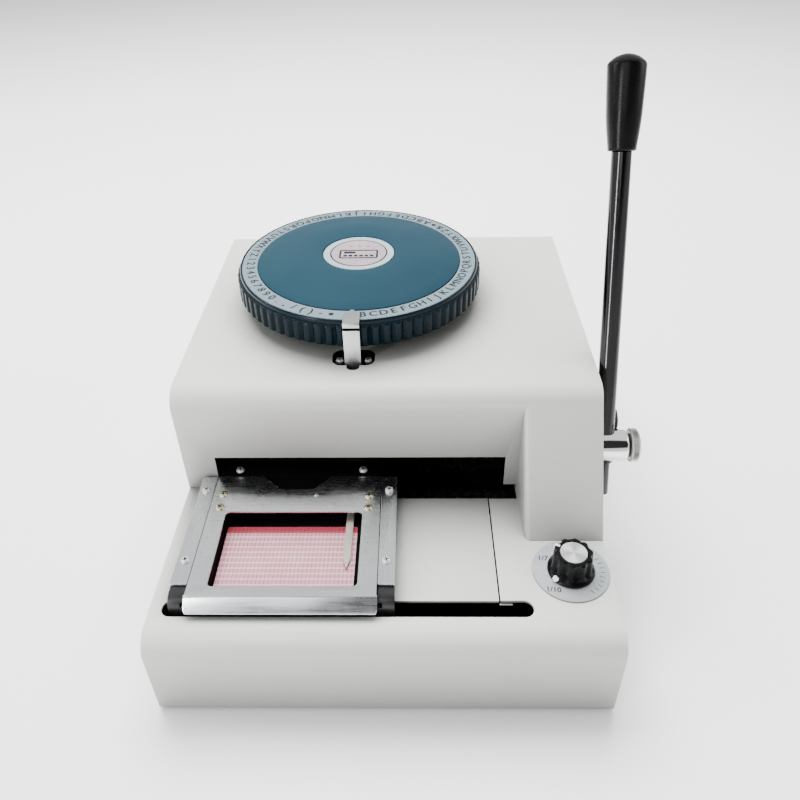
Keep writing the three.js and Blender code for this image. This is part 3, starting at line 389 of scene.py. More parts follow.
def lathe(profile, steps=96, wave=None):
    """Solid of revolution about Z from (radius, z) points. wave() adds to the radius."""
    bm = bmesh.new()
    rings = []
    for radius, z in profile:
        if radius <= 1e-6:
            rings.append([bm.verts.new((0, 0, z))])
            continue
        ring = []
        for i in range(steps):
            angle = 2 * math.pi * i / steps
            reach = radius + (wave(angle, radius, z) if wave else 0.0)
            ring.append(bm.verts.new((reach * math.cos(angle), reach * math.sin(angle), z)))
        rings.append(ring)
    for low, high in zip(rings, rings[1:]):
        for i in range(steps):
            j = (i + 1) % steps
            if len(low) == 1 and len(high) == 1:
                continue
            if len(low) == 1:
                bm.faces.new((low[0], high[j], high[i]))
            elif len(high) == 1:
                bm.faces.new((low[i], low[j], high[0]))
            else:
                bm.faces.new((low[i], low[j], high[j], high[i]))
    if len(rings[0]) > 1 and len(rings[-1]) > 1:
        for i in range(steps):
            j = (i + 1) % steps
            bm.faces.new((rings[-1][i], rings[-1][j], rings[0][j], rings[0][i]))
    bmesh.ops.recalc_face_normals(bm, faces=bm.faces)
    return bm


def freed(ob):
    """The object's mesh as a bmesh. The object is removed."""
    bm = bmesh.new()
    bm.from_mesh(ob.data)
    bpy.data.objects.remove(ob)
    return bm


def turn(bm, matrix):
    bmesh.ops.transform(bm, matrix=matrix, verts=bm.verts)
    return bm


def along_x(bm):
    """Turns a lathe about Z so that its axis lies along +X."""
    return turn(bm, Matrix.Rotation(math.radians(90), 4, "Y"))


def shifted(bm, x, y, z):
    return turn(bm, Matrix.Translation((x, y, z)))


def joined(*parts):
    """Several closed meshes as one."""
    whole = bmesh.new()
    for part in parts:
        mesh = bpy.data.meshes.new("part")
        part.to_mesh(mesh)
        part.free()
        whole.from_mesh(mesh)
        bpy.data.meshes.remove(mesh)
    return whole


def in_scene(name, data):
    ob = bpy.data.objects.new(name, data)
    bpy.context.scene.collection.objects.link(ob)
    return ob


def raw_object(bm, material):
    mesh = bpy.data.meshes.new("raw")
    bm.to_mesh(mesh)
    bm.free()
    mesh.materials.append(material)
    return in_scene("raw", mesh)


def baked(ob):
    """Applies the object's modifiers to its mesh."""
    bpy.context.view_layer.update()
    graph = bpy.context.evaluated_depsgraph_get()
    mesh = bpy.data.meshes.new_from_object(ob.evaluated_get(graph))
    ob.modifiers.clear()
    ob.data = mesh


def combine(operation, ob, bm, material):
    """Exact boolean of ob with a bmesh whose faces carry their own material."""
    tool = raw_object(bm, material)
    modifier = ob.modifiers.new("cut", "BOOLEAN")
    modifier.operation = operation
    modifier.solver = "EXACT"
    modifier.material_mode = "TRANSFER"
    modifier.object = tool
    baked(ob)
    bpy.data.objects.remove(tool)


cut = partial(combine, "DIFFERENCE")
add = partial(combine, "UNION")


def smooth(ob, angle):
    """Smooth shading, with edges sharper than the angle kept crisp."""
    for face in ob.data.polygons:
        face.use_smooth = True
    ob.data.set_sharp_from_angle(angle=math.radians(angle))


def put(name, shape, material, body, replaces=(), bevel=0.0, segments=2, angle=32):
    """Turns a bmesh or raw object into a finished piece that rides on a body."""
    ob = shape if isinstance(shape, bpy.types.Object) else raw_object(shape, material)
    ob.name = name
    if bevel:
        modifier = ob.modifiers.new("bevel", "BEVEL")
        modifier.width = bevel
        modifier.segments = segments
        modifier.limit_method = "ANGLE"
        modifier.angle_limit = math.radians(angle)
        modifier.miter_outer = "MITER_ARC"
        baked(ob)
    ob.data.name = name
    ob.data.transform(Matrix.Diagonal((MM, MM, MM, 1)) @ Matrix.Translation(OFFSET))
    smooth(ob, angle)
    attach(ob, body)
    if replaces:
        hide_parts(*replaces)


def text_mesh(words, size, thickness):
    """Flat letters centred on the origin, as a bmesh in the XY plane."""
    curve = bpy.data.curves.new("words", "FONT")
    curve.body = words
    curve.size = size
    curve.align_x = "CENTER"
    curve.align_y = "CENTER"
    curve.extrude = thickness / 2
    curve.resolution_u = 3
    ob = in_scene("words", curve)
    bpy.context.view_layer.update()
    graph = bpy.context.evaluated_depsgraph_get()
    mesh = bpy.data.meshes.new_from_object(ob.evaluated_get(graph))
    bpy.data.objects.remove(ob)
    bm = bmesh.new()
    bm.from_mesh(mesh)
    bpy.data.meshes.remove(mesh)
    return bm


def bold(words, size, thickness, *places):
    """The same letters printed once at each place, which thickens their strokes."""
    return joined(*[shifted(text_mesh(words, size, thickness), *place) for place in places])


# ------------------------------------------------------------------ fasteners

def gathered(heads, material):
    """Screw heads as one object: the metal in slot 0, the painted shade of the recess in slot 1."""
    ob = raw_object(joined(*heads), material)
    ob.data.materials.append(black_and_painted_shade)
    return ob


def pan_screw(x, y, z, radius=2.6, height=1.5, turned_by=20, material=zinc):
    """Cross-recessed pan head on a washer face, with its axis along Z."""
    head = lathe([(0, z - 0.6), (radius, z - 0.6), (radius, z + 0.25 * height),
                  (radius * 0.93, z + 0.55 * height), (radius * 0.75, z + 0.82 * height),
                  (radius * 0.45, z + height), (0, z + height)], 28)
    ob = raw_object(shifted(head, x, y, 0), material)
    arm = radius * 0.56
    for angle in (turned_by, turned_by + 90):
        bar = block(-arm, arm, -radius * 0.13, radius * 0.13, z + 0.35 * height, z + 2 * height)
        turn(bar, Matrix.Translation((x, y, 0)) @ Matrix.Rotation(math.radians(angle), 4, "Z"))
        # The cross recess is cut in near-black: painted shade.
        cut(ob, bar, black_and_painted_shade)
    return freed(ob)


def screws(name, places, z, material, body, radius=2.6, height=1.5):
    heads = [pan_screw(x, y, z, radius, height, 20 + 37 * i, material)
             for i, (x, y) in enumerate(places)]
    put(name, gathered(heads, material), material, body, bevel=0.12)


# ------------------------------------------------------------------ housing

def rolled(front_y, high_z, low_z, back_y, radius):
    return ([(front_y, low_z)] + arc(front_y + radius, high_z - radius, radius, 180, 90, 14)
            + [(back_y, high_z), (back_y, low_z)])


def build_base():
    slot_left, slot_right, slot_front, slot_back, rear_slot = -132.4, 88.9, 19.6, 31.0, 115.2
    panel_low, panel_high = node_box("deck_panel")
    seam = 0.9
    ob = raw_object(prism(rolled(0, deck_z, foot_z, depth, EDGE_RADIUS), "x", -HALF_WIDTH,
                          HALF_WIDTH), paint)
    # The inside of the case is cut in near-black: painted shade.
    cut(ob, prism(rolled(SHEET, deck_z - SHEET, -4, depth - SHEET, 12), "x", -INSIDE_X, INSIDE_X),
        black_and_painted_shade)
    low, high = deck_z - 2 * SHEET, deck_z + 4
    cut(ob, prism(rounded(slot_left, slot_right, slot_front, slot_back, 5.6), "z", low, high),
        paint)
    cut(ob, block(panel_low.x - seam, panel_high.x + seam, slot_back - 1, rear_slot + 1, low, high),
        paint)
    cut(ob, block(slot_left, COLUMN_X - 0.6, rear_slot, HEAD_Y + 4, low, high), paint)
    flange = 8.2
    cut(ob, block(flange - HALF_WIDTH, HALF_WIDTH - flange, HEAD_Y + 3, depth - flange, low, high),
        paint)
    put("base_case", ob, paint, "base", ["base_shell"], bevel=0.4, segments=3)

    front_gap = 0.8
    panel = block(panel_low.x, panel_high.x, panel_low.y + front_gap, panel_high.y, deck_z - SHEET,
                  deck_z)
    put("deck_cover", panel, paint, "base", ["deck_panel"], bevel=0.3)
    # The legs under the deck panel are near-black: painted shade.
    legs = joined(*[block(x, x + SHEET, 36, 108, panel_low.z, deck_z - SHEET)
                    for x in (panel_low.x, panel_high.x - SHEET)])
    put("deck_cover_legs", legs, black_and_painted_shade, "base", bevel=0.3)

    # Small stop plate in the front slot.
    put("slot_stop", block(69, 77, 29.3, 30.8, deck_z - 2.9, deck_z - 2.0), bright, "base",
        bevel=0.3)
    # A near-black tray under the slots: painted shade, so that nothing bright shows through them.
    put("painted_shade_under_slots", joined(
        block(slot_left + 1, slot_right + 9, 17, 18.2, 30, deck_z - SHEET - 0.4),
        block(slot_left + 1, slot_right + 9, 32.6, 33.8, 30, 42)), black_and_painted_shade, "base",
        bevel=0.2)


def build_head():
    run_radius = EDGE_RADIUS * math.sqrt(0.5)
    join_y = HEAD_Y + EDGE_RADIUS - run_radius
    join_z = top_z - EDGE_RADIUS + run_radius
    slope = (join_y - column_foot_y) / (join_z - deck_z)

    def column(inset, low_z, back_y, x0, x1):
        shift = inset * math.hypot(1, slope)

        def face_y(z):
            return column_foot_y + (z - deck_z) * slope + shift
        high_z = join_z - inset
        return prism([(face_y(low_z), low_z), (back_y, low_z), (back_y, high_z),
                      (face_y(high_z), high_z)], "x", x0, x1)

    ob = raw_object(prism(rolled(HEAD_Y, top_z, head_foot_z, depth, EDGE_RADIUS), "x", -HALF_WIDTH,
                          HALF_WIDTH), paint)
    post = column(0, head_foot_z, HEAD_Y + 8, COLUMN_X, HALF_WIDTH)
    front_left = [e for e in post.edges
                  if all(v.co.x < COLUMN_X + 0.1 and v.co.y < HEAD_Y + 5 for v in e.verts)]
    bmesh.ops.bevel(post, geom=front_left, offset=4.5, segments=8, profile=0.5, affect="EDGES")
    add(ob, post, paint)
    # The inside faces and the mouth are cut in near-black: painted shade.
    cut(ob, prism(rolled(HEAD_Y + SHEET, top_z - SHEET, -4, depth - SHEET, 12), "x", -INSIDE_X,
                  INSIDE_X), black_and_painted_shade)
    cut(ob, column(SHEET, deck_z - 4, HEAD_Y + 8, COLUMN_X + 3.4, INSIDE_X), black_and_painted_shade)
    cut(ob, block(MOUTH_LEFT, MOUTH_RIGHT, HEAD_Y - 1, HEAD_Y + 4, deck_z - 4, MOUTH_TOP),
        black_and_painted_shade)
    cut(ob, block(MOUTH_RIGHT - 1, COLUMN_X - 0.3, HEAD_Y - 1, HEAD_Y + 4, deck_z - 4, deck_z + 3),
        black_and_painted_shade)
    low, high = top_z - 2 * SHEET, top_z + 4
    cut(ob, prism(disc(dial.x, dial.y, 32), "z", low, high), paint)
    pocket = rounded(dial.x - 14.5, dial.x + 14.5, 158.8, 177, 6.5)
    notch = rounded(dial.x - 4.3, dial.x + 4.5, 153.4, 166, 3.6)
    # The pocket, the notch and the shaft hole are lined in near-black: painted shade.
    for outline in (pocket, notch):
        cut(ob, prism(outline, "z", low, high), black_and_painted_shade)
    hole = prism(disc(shaft.y, shaft.z, 8.5), "x", INSIDE_X - 4, HALF_WIDTH + 4)
    cut(ob, hole, black_and_painted_shade)
    cut(ob, block(-120, 120, depth - 4, depth + 4, deck_z + 6, top_z - 8), paint)
    put("head_case", ob, paint, "base", ["head_cover"], bevel=0.6, segments=3)

    low, high = node_box("rear_cover")
    door = joined(block(-119.4, 119.4, depth - 2.3, depth - 0.5, deck_z + 6.6, top_z - 8.6),
                  block(low.x, high.x, depth - 4.3, depth - 2.4, low.z, high.z))
    put("rear_door", door, paint, "base", ["rear_cover"], bevel=0.4)
    heads = []
    for i, (x, z) in enumerate([(-111, 80), (0, 80), (111, 80), (-111, 132), (0, 132), (111, 132)]):
        head = pan_screw(0, 0, 0, 3.2, 1.7, 15 + 50 * i)
        turn(head, Matrix.Translation((x, depth - 0.5, z))
             @ Matrix.Rotation(math.radians(-90), 4, "X"))
        heads.append(head)
    put("rear_door_screws", gathered(heads, zinc), zinc, "base", bevel=0.12)

    # A near-black sheet in the mouth, over the shaft: painted shade.
    put("painted_shade_in_mouth", joined(
        block(-128.5, 91, 129.6, 130.6, 96.5, 118),
        block(-128.5, 91, 129.0, 130.6, 96.0, 98.2)), black_and_painted_shade, "base", bevel=0.2)


def build_feet():
    for name in ("foot_front_left", "foot_front_right", "foot_rear_left", "foot_rear_right"):
        c = centre(name)
        low, high = node_box(name)
        r = (high.x - low.x) / 2
        foot = lathe([(0, 0.25), (r * 0.72, 0.25), (r * 0.74, 0), (r - 0.6, 0), (r, 0.5),
                      (r, high.z), (0, high.z)], 48)
        put(name + "_pad", shifted(foot, c.x, c.y, 0), rubber, "base", [name])


# ------------------------------------------------------------------ dial

def on_dial(bm):
    return shifted(bm, dial.x, dial.y, 0)


def build_dial():
    top = 174.6
    flute_depth = 2.1

    def fluted(angle, radius, z):
        if radius < rim_radius - 3:
            return 0.0
        phase = 0.5 + 0.5 * math.cos(angle * CHARACTERS)
        lobe = min(1.0, 1.55 * phase) ** 0.75
        above = min(1.0, max(0.0, (top - z) / 1.6))
        below = min(1.0, max(0.0, (z - dial_low_z) / 1.2))
        return (lobe - 1.0) * flute_depth * math.sqrt(above * below)

    profile = [(rim_radius - 12, dial_low_z + 3), (rim_radius - 5.0, dial_low_z),
               (rim_radius - 2.4, dial_low_z), (rim_radius - 1.3, dial_low_z + 0.3),
               (rim_radius - 0.5, dial_low_z + 0.9), (rim_radius, dial_low_z + 2.0),
               (rim_radius, dial_low_z + 6.0), (rim_radius, top - 4.0), (rim_radius, top - 2.0),
               (rim_radius - 0.1, top - 1.1), (rim_radius - 0.5, top - 0.45),
               (rim_radius - 1.0, top), (rim_radius - 1.7, top + 0.3),
               (rim_radius - 2.3, top + 0.5), (rim_radius - 6, top + 0.5),
               (rim_radius - 12, top - 2)]
    rim = lathe(profile, CHARACTERS * 12, fluted)
    put("dial_rim", on_dial(rim), rim_blue_painted_shade, "dial", ["dial_wheel"], angle=50)

    ring_in, ring_out = 75.5, 87.5
    crown = lathe([
        (0, dial_low_z + 2.2), (rim_radius - 12.2, dial_low_z + 2.2),
        (rim_radius - 12.2, top - 2.3), (89.0, top - 1.5),
        (89.0, top + 0.3), (88.9, ring_top_z - 1.2), (88.7, ring_top_z - 0.5),
        (88.3, ring_top_z - 0.05), (87.9, ring_top_z), (87.6, ring_top_z - 0.2),
        (ring_out + 0.02, ring_top_z - 1.7), (ring_in - 0.02, ring_top_z - 1.7),
        (ring_in - 0.1, ring_top_z + 0.15), (ring_in - 0.5, ring_top_z + 0.4),
        (66, ring_top_z + 1.85), (59.5, ring_top_z + 2.85), (57.5, ring_top_z + 3.2),
        (52, ring_top_z + 4.1), (46, dial_top_z - 0.32), (41, dial_top_z - 0.05),
        (36, dial_top_z), (28.6, dial_top_z), (27.6, dial_top_z - 0.2), (27.1, dial_top_z - 0.7),
        (26.9, dial_top_z - 1.5), (0, dial_top_z - 1.5)], 216)
    crown = raw_object(on_dial(crown), blue_top)
    crown.data.materials.append(rim_blue_painted_shade)
    # Faces outside the ring take the darker rim blue: painted shade on the outer lip.
    for face in crown.data.polygons:
        if math.hypot(face.center.x - dial.x, face.center.y - dial.y) > ring_out + 0.1:
            face.material_index = 1
    put("dial_crown", crown, blue_top, "dial", angle=28)

    ring = lathe([(ring_in + 0.4, ring_top_z - 1.5), (ring_out - 0.4, ring_top_z - 1.5),
                  (ring_out - 0.3, ring_top_z - 0.5), (ring_out - 0.6, ring_top_z - 0.15),
                  (ring_in + 0.7, ring_top_z - 0.15), (ring_in + 0.4, ring_top_z - 0.5)], 216)
    put("character_ring", on_dial(ring), ring_print, "dial",
        ["dial_ring"])

    # Characters counter-clockwise from the pointer.
    letters = "ABCDEFGHIJKLMNOPQRSTUVWXYZ"
    marks = list(letters) + ["&", "•"] + list(letters) + list("1234567890")
    marks += list(".,/()-") + ["•", ""]
    glyphs = []
    middle = (ring_in + ring_out) / 2 - 0.3
    ink_z = ring_top_z - 0.12
    for i in range(CHARACTERS):
        mark = marks[i]
        if not mark:
            continue
        if mark == "•":
            glyph = lathe([(0, -0.06), (1.8, -0.06), (1.8, 0.06), (0, 0.06)], 20)
        else:
            glyph = bold(mark, 8.6, 0.12, (-0.2, 0, 0), (0.2, 0.06, 0.02))
        angle = 2 * math.pi * i / CHARACTERS - math.pi / 2
        turn(glyph, Matrix.Translation((dial.x + middle * math.cos(angle),
                                        dial.y + middle * math.sin(angle), ink_z))
             @ Matrix.Rotation(angle + math.pi / 2, 4, "Z"))
        glyphs.append(glyph)
    put("ring_characters", joined(*glyphs), ink, "dial")

    face = dial_top_z - 0.35
    low = dial_top_z - 1.2
    outer = lathe([(21.5, low), (26.4, low), (26.45, face - 0.3), (26.1, face), (21.9, face),
                   (21.5, face - 0.25)], 144)
    put("badge_border", on_dial(outer), silver_print, "dial",
        ["dial_badge"])
    circle = lathe([(20.5, low), (21.45, low), (21.45, face - 0.15), (20.5, face - 0.15)], 144)
    put("badge_circle", on_dial(circle), ink, "dial")
    middle_disc = lathe([(0, low), (20.45, low), (20.45, face - 0.1), (0, face - 0.1)], 96)
    put("badge_disc", on_dial(middle_disc), pink_print, "dial")
    ink_low, ink_high = face - 0.12, face + 0.02

    def frame_of(x0, x1, y0, y1, radius, width):
        outer_line = rounded(x0, x1, y0, y1, radius, 6)
        inner_line = rounded(x0 + width, x1 - width, y0 + width, y1 - width, radius - width, 6)
        ob = raw_object(prism(outer_line, "z", ink_low, ink_high), ink)
        cut(ob, prism(inner_line, "z", ink_low - 1, ink_high + 1), ink)
        return freed(ob)
    x, y = dial.x, dial.y
    card = [frame_of(x - 14.5, x + 14.5, y - 9, y + 4.5, 2, 1.4),
            prism(rounded(x - 11.2, x - 2.5, y - 1.2, y + 1.8, 0.5, 3), "z", ink_low, ink_high)]
    for i in range(6):
        left = x - 11.2 + 3.94 * i
        card.append(prism(rounded(left, left + 2.7, y - 6.2, y - 3.4, 0.5, 3), "z", ink_low,
                          ink_high))
    put("badge_card", joined(*card), ink, "dial")
    dots = []
    for i in (-1, 0, 1):
        dot = lathe([(0, ink_low), (1.25, ink_low), (1.25, ink_high), (0, ink_high)], 24,
                    lambda angle, radius, z: 0.35 * math.cos(5 * angle) if radius else 0.0)
        dots.append(shifted(dot, x + 6.4 * i, y + 10.6, 0))
    put("badge_dots", joined(*dots), mark_red, "dial")


def build_index():
    low, high = node_box("index_strip")
    face_y, tab_z = low.y, high.z
    thick, bend = 1.4, 2.6
    side = ([(face_y, low.z)] + arc(face_y + bend, tab_z - bend, bend, 180, 90, 8)
            + [(high.y, tab_z), (high.y, tab_z - thick)]
            + arc(face_y + bend, tab_z - bend, bend - thick, 90, 180, 6)
            + [(face_y + thick, low.z)])
    ob = raw_object(prism(side, "x", low.x, high.x), strip_metal)
    shoulder, tip = high.y - 8.2, high.y - 4.3
    cut(ob, block(low.x - 1, high.x + 1, tip, high.y + 1, tab_z - 4, tab_z + 4), strip_metal)
    for sign in (-1, 1):
        corner = [(dial.x + sign * 0.9, tip + 1), (dial.x + sign * 1.4, tip - 0.5),
                  (dial.x + sign * 2.3, shoulder + 0.6), (dial.x + sign * 3.4, shoulder),
                  (dial.x + sign * 9, shoulder), (dial.x + sign * 9, tip + 1)]
        cut(ob, prism(corner, "z", tab_z - 4, tab_z + 4), strip_metal)
    # A shallow groove under the bend, lined in near-black: painted shade of the bend.
    groove_z, groove_width, groove_depth = tab_z - 5.8, 2.0, 0.7
    cut(ob, block(low.x - 1, high.x + 1, face_y - 1, face_y + groove_depth, groove_z,
                  groove_z + groove_width), black_and_painted_shade)
    put("index_pointer", ob, strip_metal, "base", ["index_strip"], bevel=0.22)
    screws("pocket_screws", [(dial.x - 9.9, POCKET_Y), (dial.x + 9.9, POCKET_Y)], 145.0, zinc,
           "base", 2.7, 1.8)


# ------------------------------------------------------------------ lever

def build_lever():
    lean = math.radians(21.8)
    stand = Matrix.Translation((lever_x, shaft.y, shaft.z)) @ Matrix.Rotation(-lean, 4, "X")
    rod = lathe([(0, -35.5), (3.7, -35.5), (4.5, -35.0), (4.7, -34.2), (4.7, -11.6), (6.3, -11.5),
                 (6.3, 193.4), (5.9, 193.9), (4, 194.0), (4, 213), (0, 213)], 64)
    put("lever_bar", turn(rod, stand), chrome_with_painted_dark_reflection, "lever", ["lever_rod"])
    grip = lathe([
        (6.5, 194.0), (7.9, 194.0), (8.5, 194.3), (8.8, 194.9), (8.9, 196.0), (9.5, 201),
        (10.3, 208), (10.9, 215), (11.2, 222), (11.5, 230), (11.75, 238), (11.85, 243.6),
        (11.75, 244.6), (11.4, 245.4), (10.6, 246.3), (9.0, 247.7), (7.0, 249.0), (4.6, 250.0),
        (2.2, 250.6), (0, 250.8), (0, 214.5), (6.4, 214.3)], 72)
    put("lever_handle", turn(grip, stand), black_gloss, "lever", ["lever_grip"],
        angle=40)

    low, high = node_box("lever_hub")
    length = high.x - low.x
    hub = lathe([(6.9, 0), (10.6, 0), (11.1, 0.3), (11.25, 0.8), (11.25, length - 1.6),
                 (11.0, length - 0.7), (10.4, length), (6.9, length)], 72)
    ob = raw_object(shifted(along_x(hub), low.x, shaft.y, shaft.z), chrome)
    bore = turn(lathe([(0, -30), (6.5, -30), (6.5, 30), (0, 30)], 48), stand)
    cut(ob, bore, chrome)
    put("lever_boss", ob, chrome, "lever", ["lever_hub"], bevel=0.2)

    low, high = node_box("clamp_knob")
    length = high.x - low.x
    teeth = 60

    def knurl(angle, radius, z):
        return 0.28 * math.cos(angle * teeth) if radius > 11.0 else 0.0
    cap = lathe([
        (0, 0), (7.0, 0), (7.0, 1.5), (10.2, 1.5), (10.7, 1.8), (11.25, 2.3), (11.3, 3.2),
        (11.3, length - 2.0), (11.2, length - 1.3), (10.7, length - 0.8), (10.3, length - 0.35),
        (9.6, length - 0.1), (0, length - 0.1)], teeth * 6, knurl)
    put("clamp_screw", shifted(along_x(cap), low.x, shaft.y, shaft.z), knurl_metal, "clamp_knob",
        ["clamp_knob"], angle=55)
    neck = lathe([(0, 0.2), (8.0, 0.2), (8.6, 0.5), (8.6, 1.2), (8.0, 1.45), (0, 1.45)], 48)
    put("clamp_washer", shifted(along_x(neck), low.x - 0.2, shaft.y, shaft.z), black_satin,
        "clamp_knob")

    c = centre("lever_stop")
    low, high = node_box("lever_stop")
    length = high.x - low.x
    stop = lathe([(0, 0), (9, 0), (9, length - 1.2), (8.5, length - 0.2), (7.6, length + 0.3),
                  (3.2, length + 0.4), (2.6, length - 1.2), (0, length - 1.2)], 56)
    put("stop_buffer", shifted(along_x(stop), low.x, c.y, c.z), rubber, "base",
        ["lever_stop"], angle=40)


# ------------------------------------------------------------------ carriage and card frame

def build_carriage():
    for side, sign in (("left", -1), ("right", 1)):
        low, high = node_box(side + "_rail")
        outline = rounded(low.x, high.x, low.y, high.y, 0.9, 4)
        put(side + "_runner", prism(outline, "z", low.z, high.z), rail_steel, "carriage",
            [side + "_rail"], bevel=0.3)
        mid = (low.x + high.x) / 2
        screws(side + "_runner_screws", [(mid - 0.3 * sign, 51), (mid, 111.3)], high.z, zinc,
               "carriage", 2.9, 2.0)

        low, high = node_box(side + "_side_bar")
        front, back = low.y, high.y
        top, foot = high.z, low.z
        body = ([(front, foot), (front, 68)] + arc(front + 7.5, top - 7.5, 7.5, 180, 90, 10)
                + [(back, top), (back, foot), (117, foot), (117, 67), (28.9, 67), (28.9, foot)])
        ob = raw_object(prism(body, "x", low.x, high.x), black_satin)
        groove = (low.x - 1, low.x + 2.6) if sign > 0 else (high.x - 2.6, high.x + 1)
        cut(ob, block(*groove, 20, 130, 69.6, 72.6), black_satin)
        put(side + "_guide_bar", ob, black_satin, "carriage",
            [side + "_side_bar"], bevel=0.5, segments=3)


def build_card_frame():
    top = plate_z
    thick = 1.6
    half, flare = 56.45, 57.0
    window = rounded(carriage_x - 44.9, carriage_x + 44.9, 31.9, 92, 3.2, 6)
    bend_y, lip_y, lip_z = 24.4, 18.0, 70.5
    fall = math.degrees(math.atan2(top - lip_z, bend_y - lip_y))
    bend_radius = 3.2
    side = arc(bend_y + 1.9, top - bend_radius, bend_radius, 90, 90 + fall, 6)
    lip = [(lip_y + 0.1, lip_z + 0.2), (lip_y, lip_z - 0.5), (lip_y + 0.9, lip_z - 0.9)]
    under = [(u + 0.55, v - thick) if i == len(side) - 1 else (u, v - thick)
             for i, (u, v) in enumerate(side)][::-1]
    profile = [(34, top)] + side + lip + under + [(34, top - thick)]
    ob = raw_object(prism(profile, "x", carriage_x - flare, carriage_x + flare), plate_steel)
    add(ob, block(carriage_x - half, carriage_x + half, 33, 125, top - thick, top), plate_steel)
    cut(ob, prism(window, "z", 60, 90), plate_steel)
    for sign in (-1, 1):
        corner = [(carriage_x + sign * 53.8, 15), (carriage_x + sign * 57.9, 20.8),
                  (carriage_x + sign * 57.9, 24.4), (carriage_x + sign * half, 26.2),
                  (carriage_x + sign * half, 36), (carriage_x + sign * 63, 36),
                  (carriage_x + sign * 63, 15)]
        cut(ob, prism(corner, "z", 60, 90), plate_steel)
    notch = ([(carriage_x - 27, 127), (carriage_x - 24.1, 123.8)]
             + arc(carriage_x - 8.6, 119.5, 7.1, 235, 270, 5)
             + arc(carriage_x + 7.5, 119.5, 7.1, 270, 305, 5) + [(carriage_x + 23.5, 127)])
    cut(ob, prism(notch, "z", 60, 90), plate_steel)
    put("frame_plate", ob, plate_steel, "card_frame", ["card_frame"], bevel=0.35)
    screws("frame_screws", [(carriage_x - 49.7, 107.4), (carriage_x - 49.7, 95.6),
                            (carriage_x + 48.6, 106), (carriage_x + 48.6, 95.2)], top, brass,
           "card_frame", 2.9, 1.5)
    pin = lathe([(0, top - 0.5), (1.6, top - 0.5), (1.6, top + 0.3), (1.2, top + 0.75),
                 (0, top + 0.9)], 24)
    put("frame_pin", shifted(pin, carriage_x + 13, 106.9, 0), bright, "card_frame")

    floor_z = node_box("grid_tray")[0].z
    wall_top = node_box("grid_tray")[1].z
    # The near-black tray floor reaches back under the rear of the well: painted shade there.
    tray = raw_object(block(carriage_x - 55.4, carriage_x + 55.4, 27.5, 104.5, floor_z, wall_top),
                      black_and_painted_shade)
    well = rounded(carriage_x - 45.2, carriage_x + 45.2, 31.7, 120, 2.0, 4)
    cut(tray, prism(well, "z", floor_z + 1.1, 90), black_and_painted_shade)
    cut(tray, block(carriage_x - 45.2, carriage_x + 45.2, 88.5, 110, floor_z + 1.1, 90),
        black_and_painted_shade)
    for sign in (-1, 1):
        reach = sorted((carriage_x + sign * 55, carriage_x + sign * 59))
        add(tray, block(*reach, 35, 104.5, 70.2, 72), black_satin)
    put("tray", tray, black_and_painted_shade, "card_frame", ["grid_tray"], bevel=0.3)

    low, high = node_box("grid_sheet")
    sheet = prism(rounded(low.x, high.x, low.y, high.y, 1.2, 5), "z", low.z, high.z)
    put("grid_card", sheet, grid_ink, "card_frame", ["grid_sheet"], bevel=0.06)

    low, high = node_box("pointer_needle")
    mid = (low.x + high.x) / 2
    blade = [(low.x, high.y), (low.x, low.y + 7.5), (mid - 0.5, low.y + 0.4), (mid, low.y),
             (mid + 0.5, low.y + 0.4), (high.x, low.y + 7.5), (high.x, high.y)]
    put("needle", prism(blade, "z", low.z, high.z), needle_metal, "base",
        ["pointer_needle"], bevel=0.35)

    low, high = node_box("card_holder")
    plane = low.z
    ob = raw_object(block(low.x, high.x, 104.8, high.y, plane, plane + 1.4), black_and_painted_shade)
    add(ob, block(low.x, high.x, 104.8, 140, plane, wall_top), black_and_painted_shade)
    add(ob, block(low.x, high.x, 125.3, 139, wall_top - 1, high.z), black_and_painted_shade)
    cut(ob, block(low.x + 12.3, high.x - 14.5, 161.3, high.y - 5, 60, 90), black_and_painted_shade)
    put("holder", ob, black_and_painted_shade, "card_frame", ["card_holder"], bevel=0.3)
    screws("holder_screws", [(carriage_x - 42.5, 130.5), (carriage_x + 43.5, 130.5)], high.z,
           zinc, "card_frame", 2.9, 2.1)


# ------------------------------------------------------------------ letter pitch knob

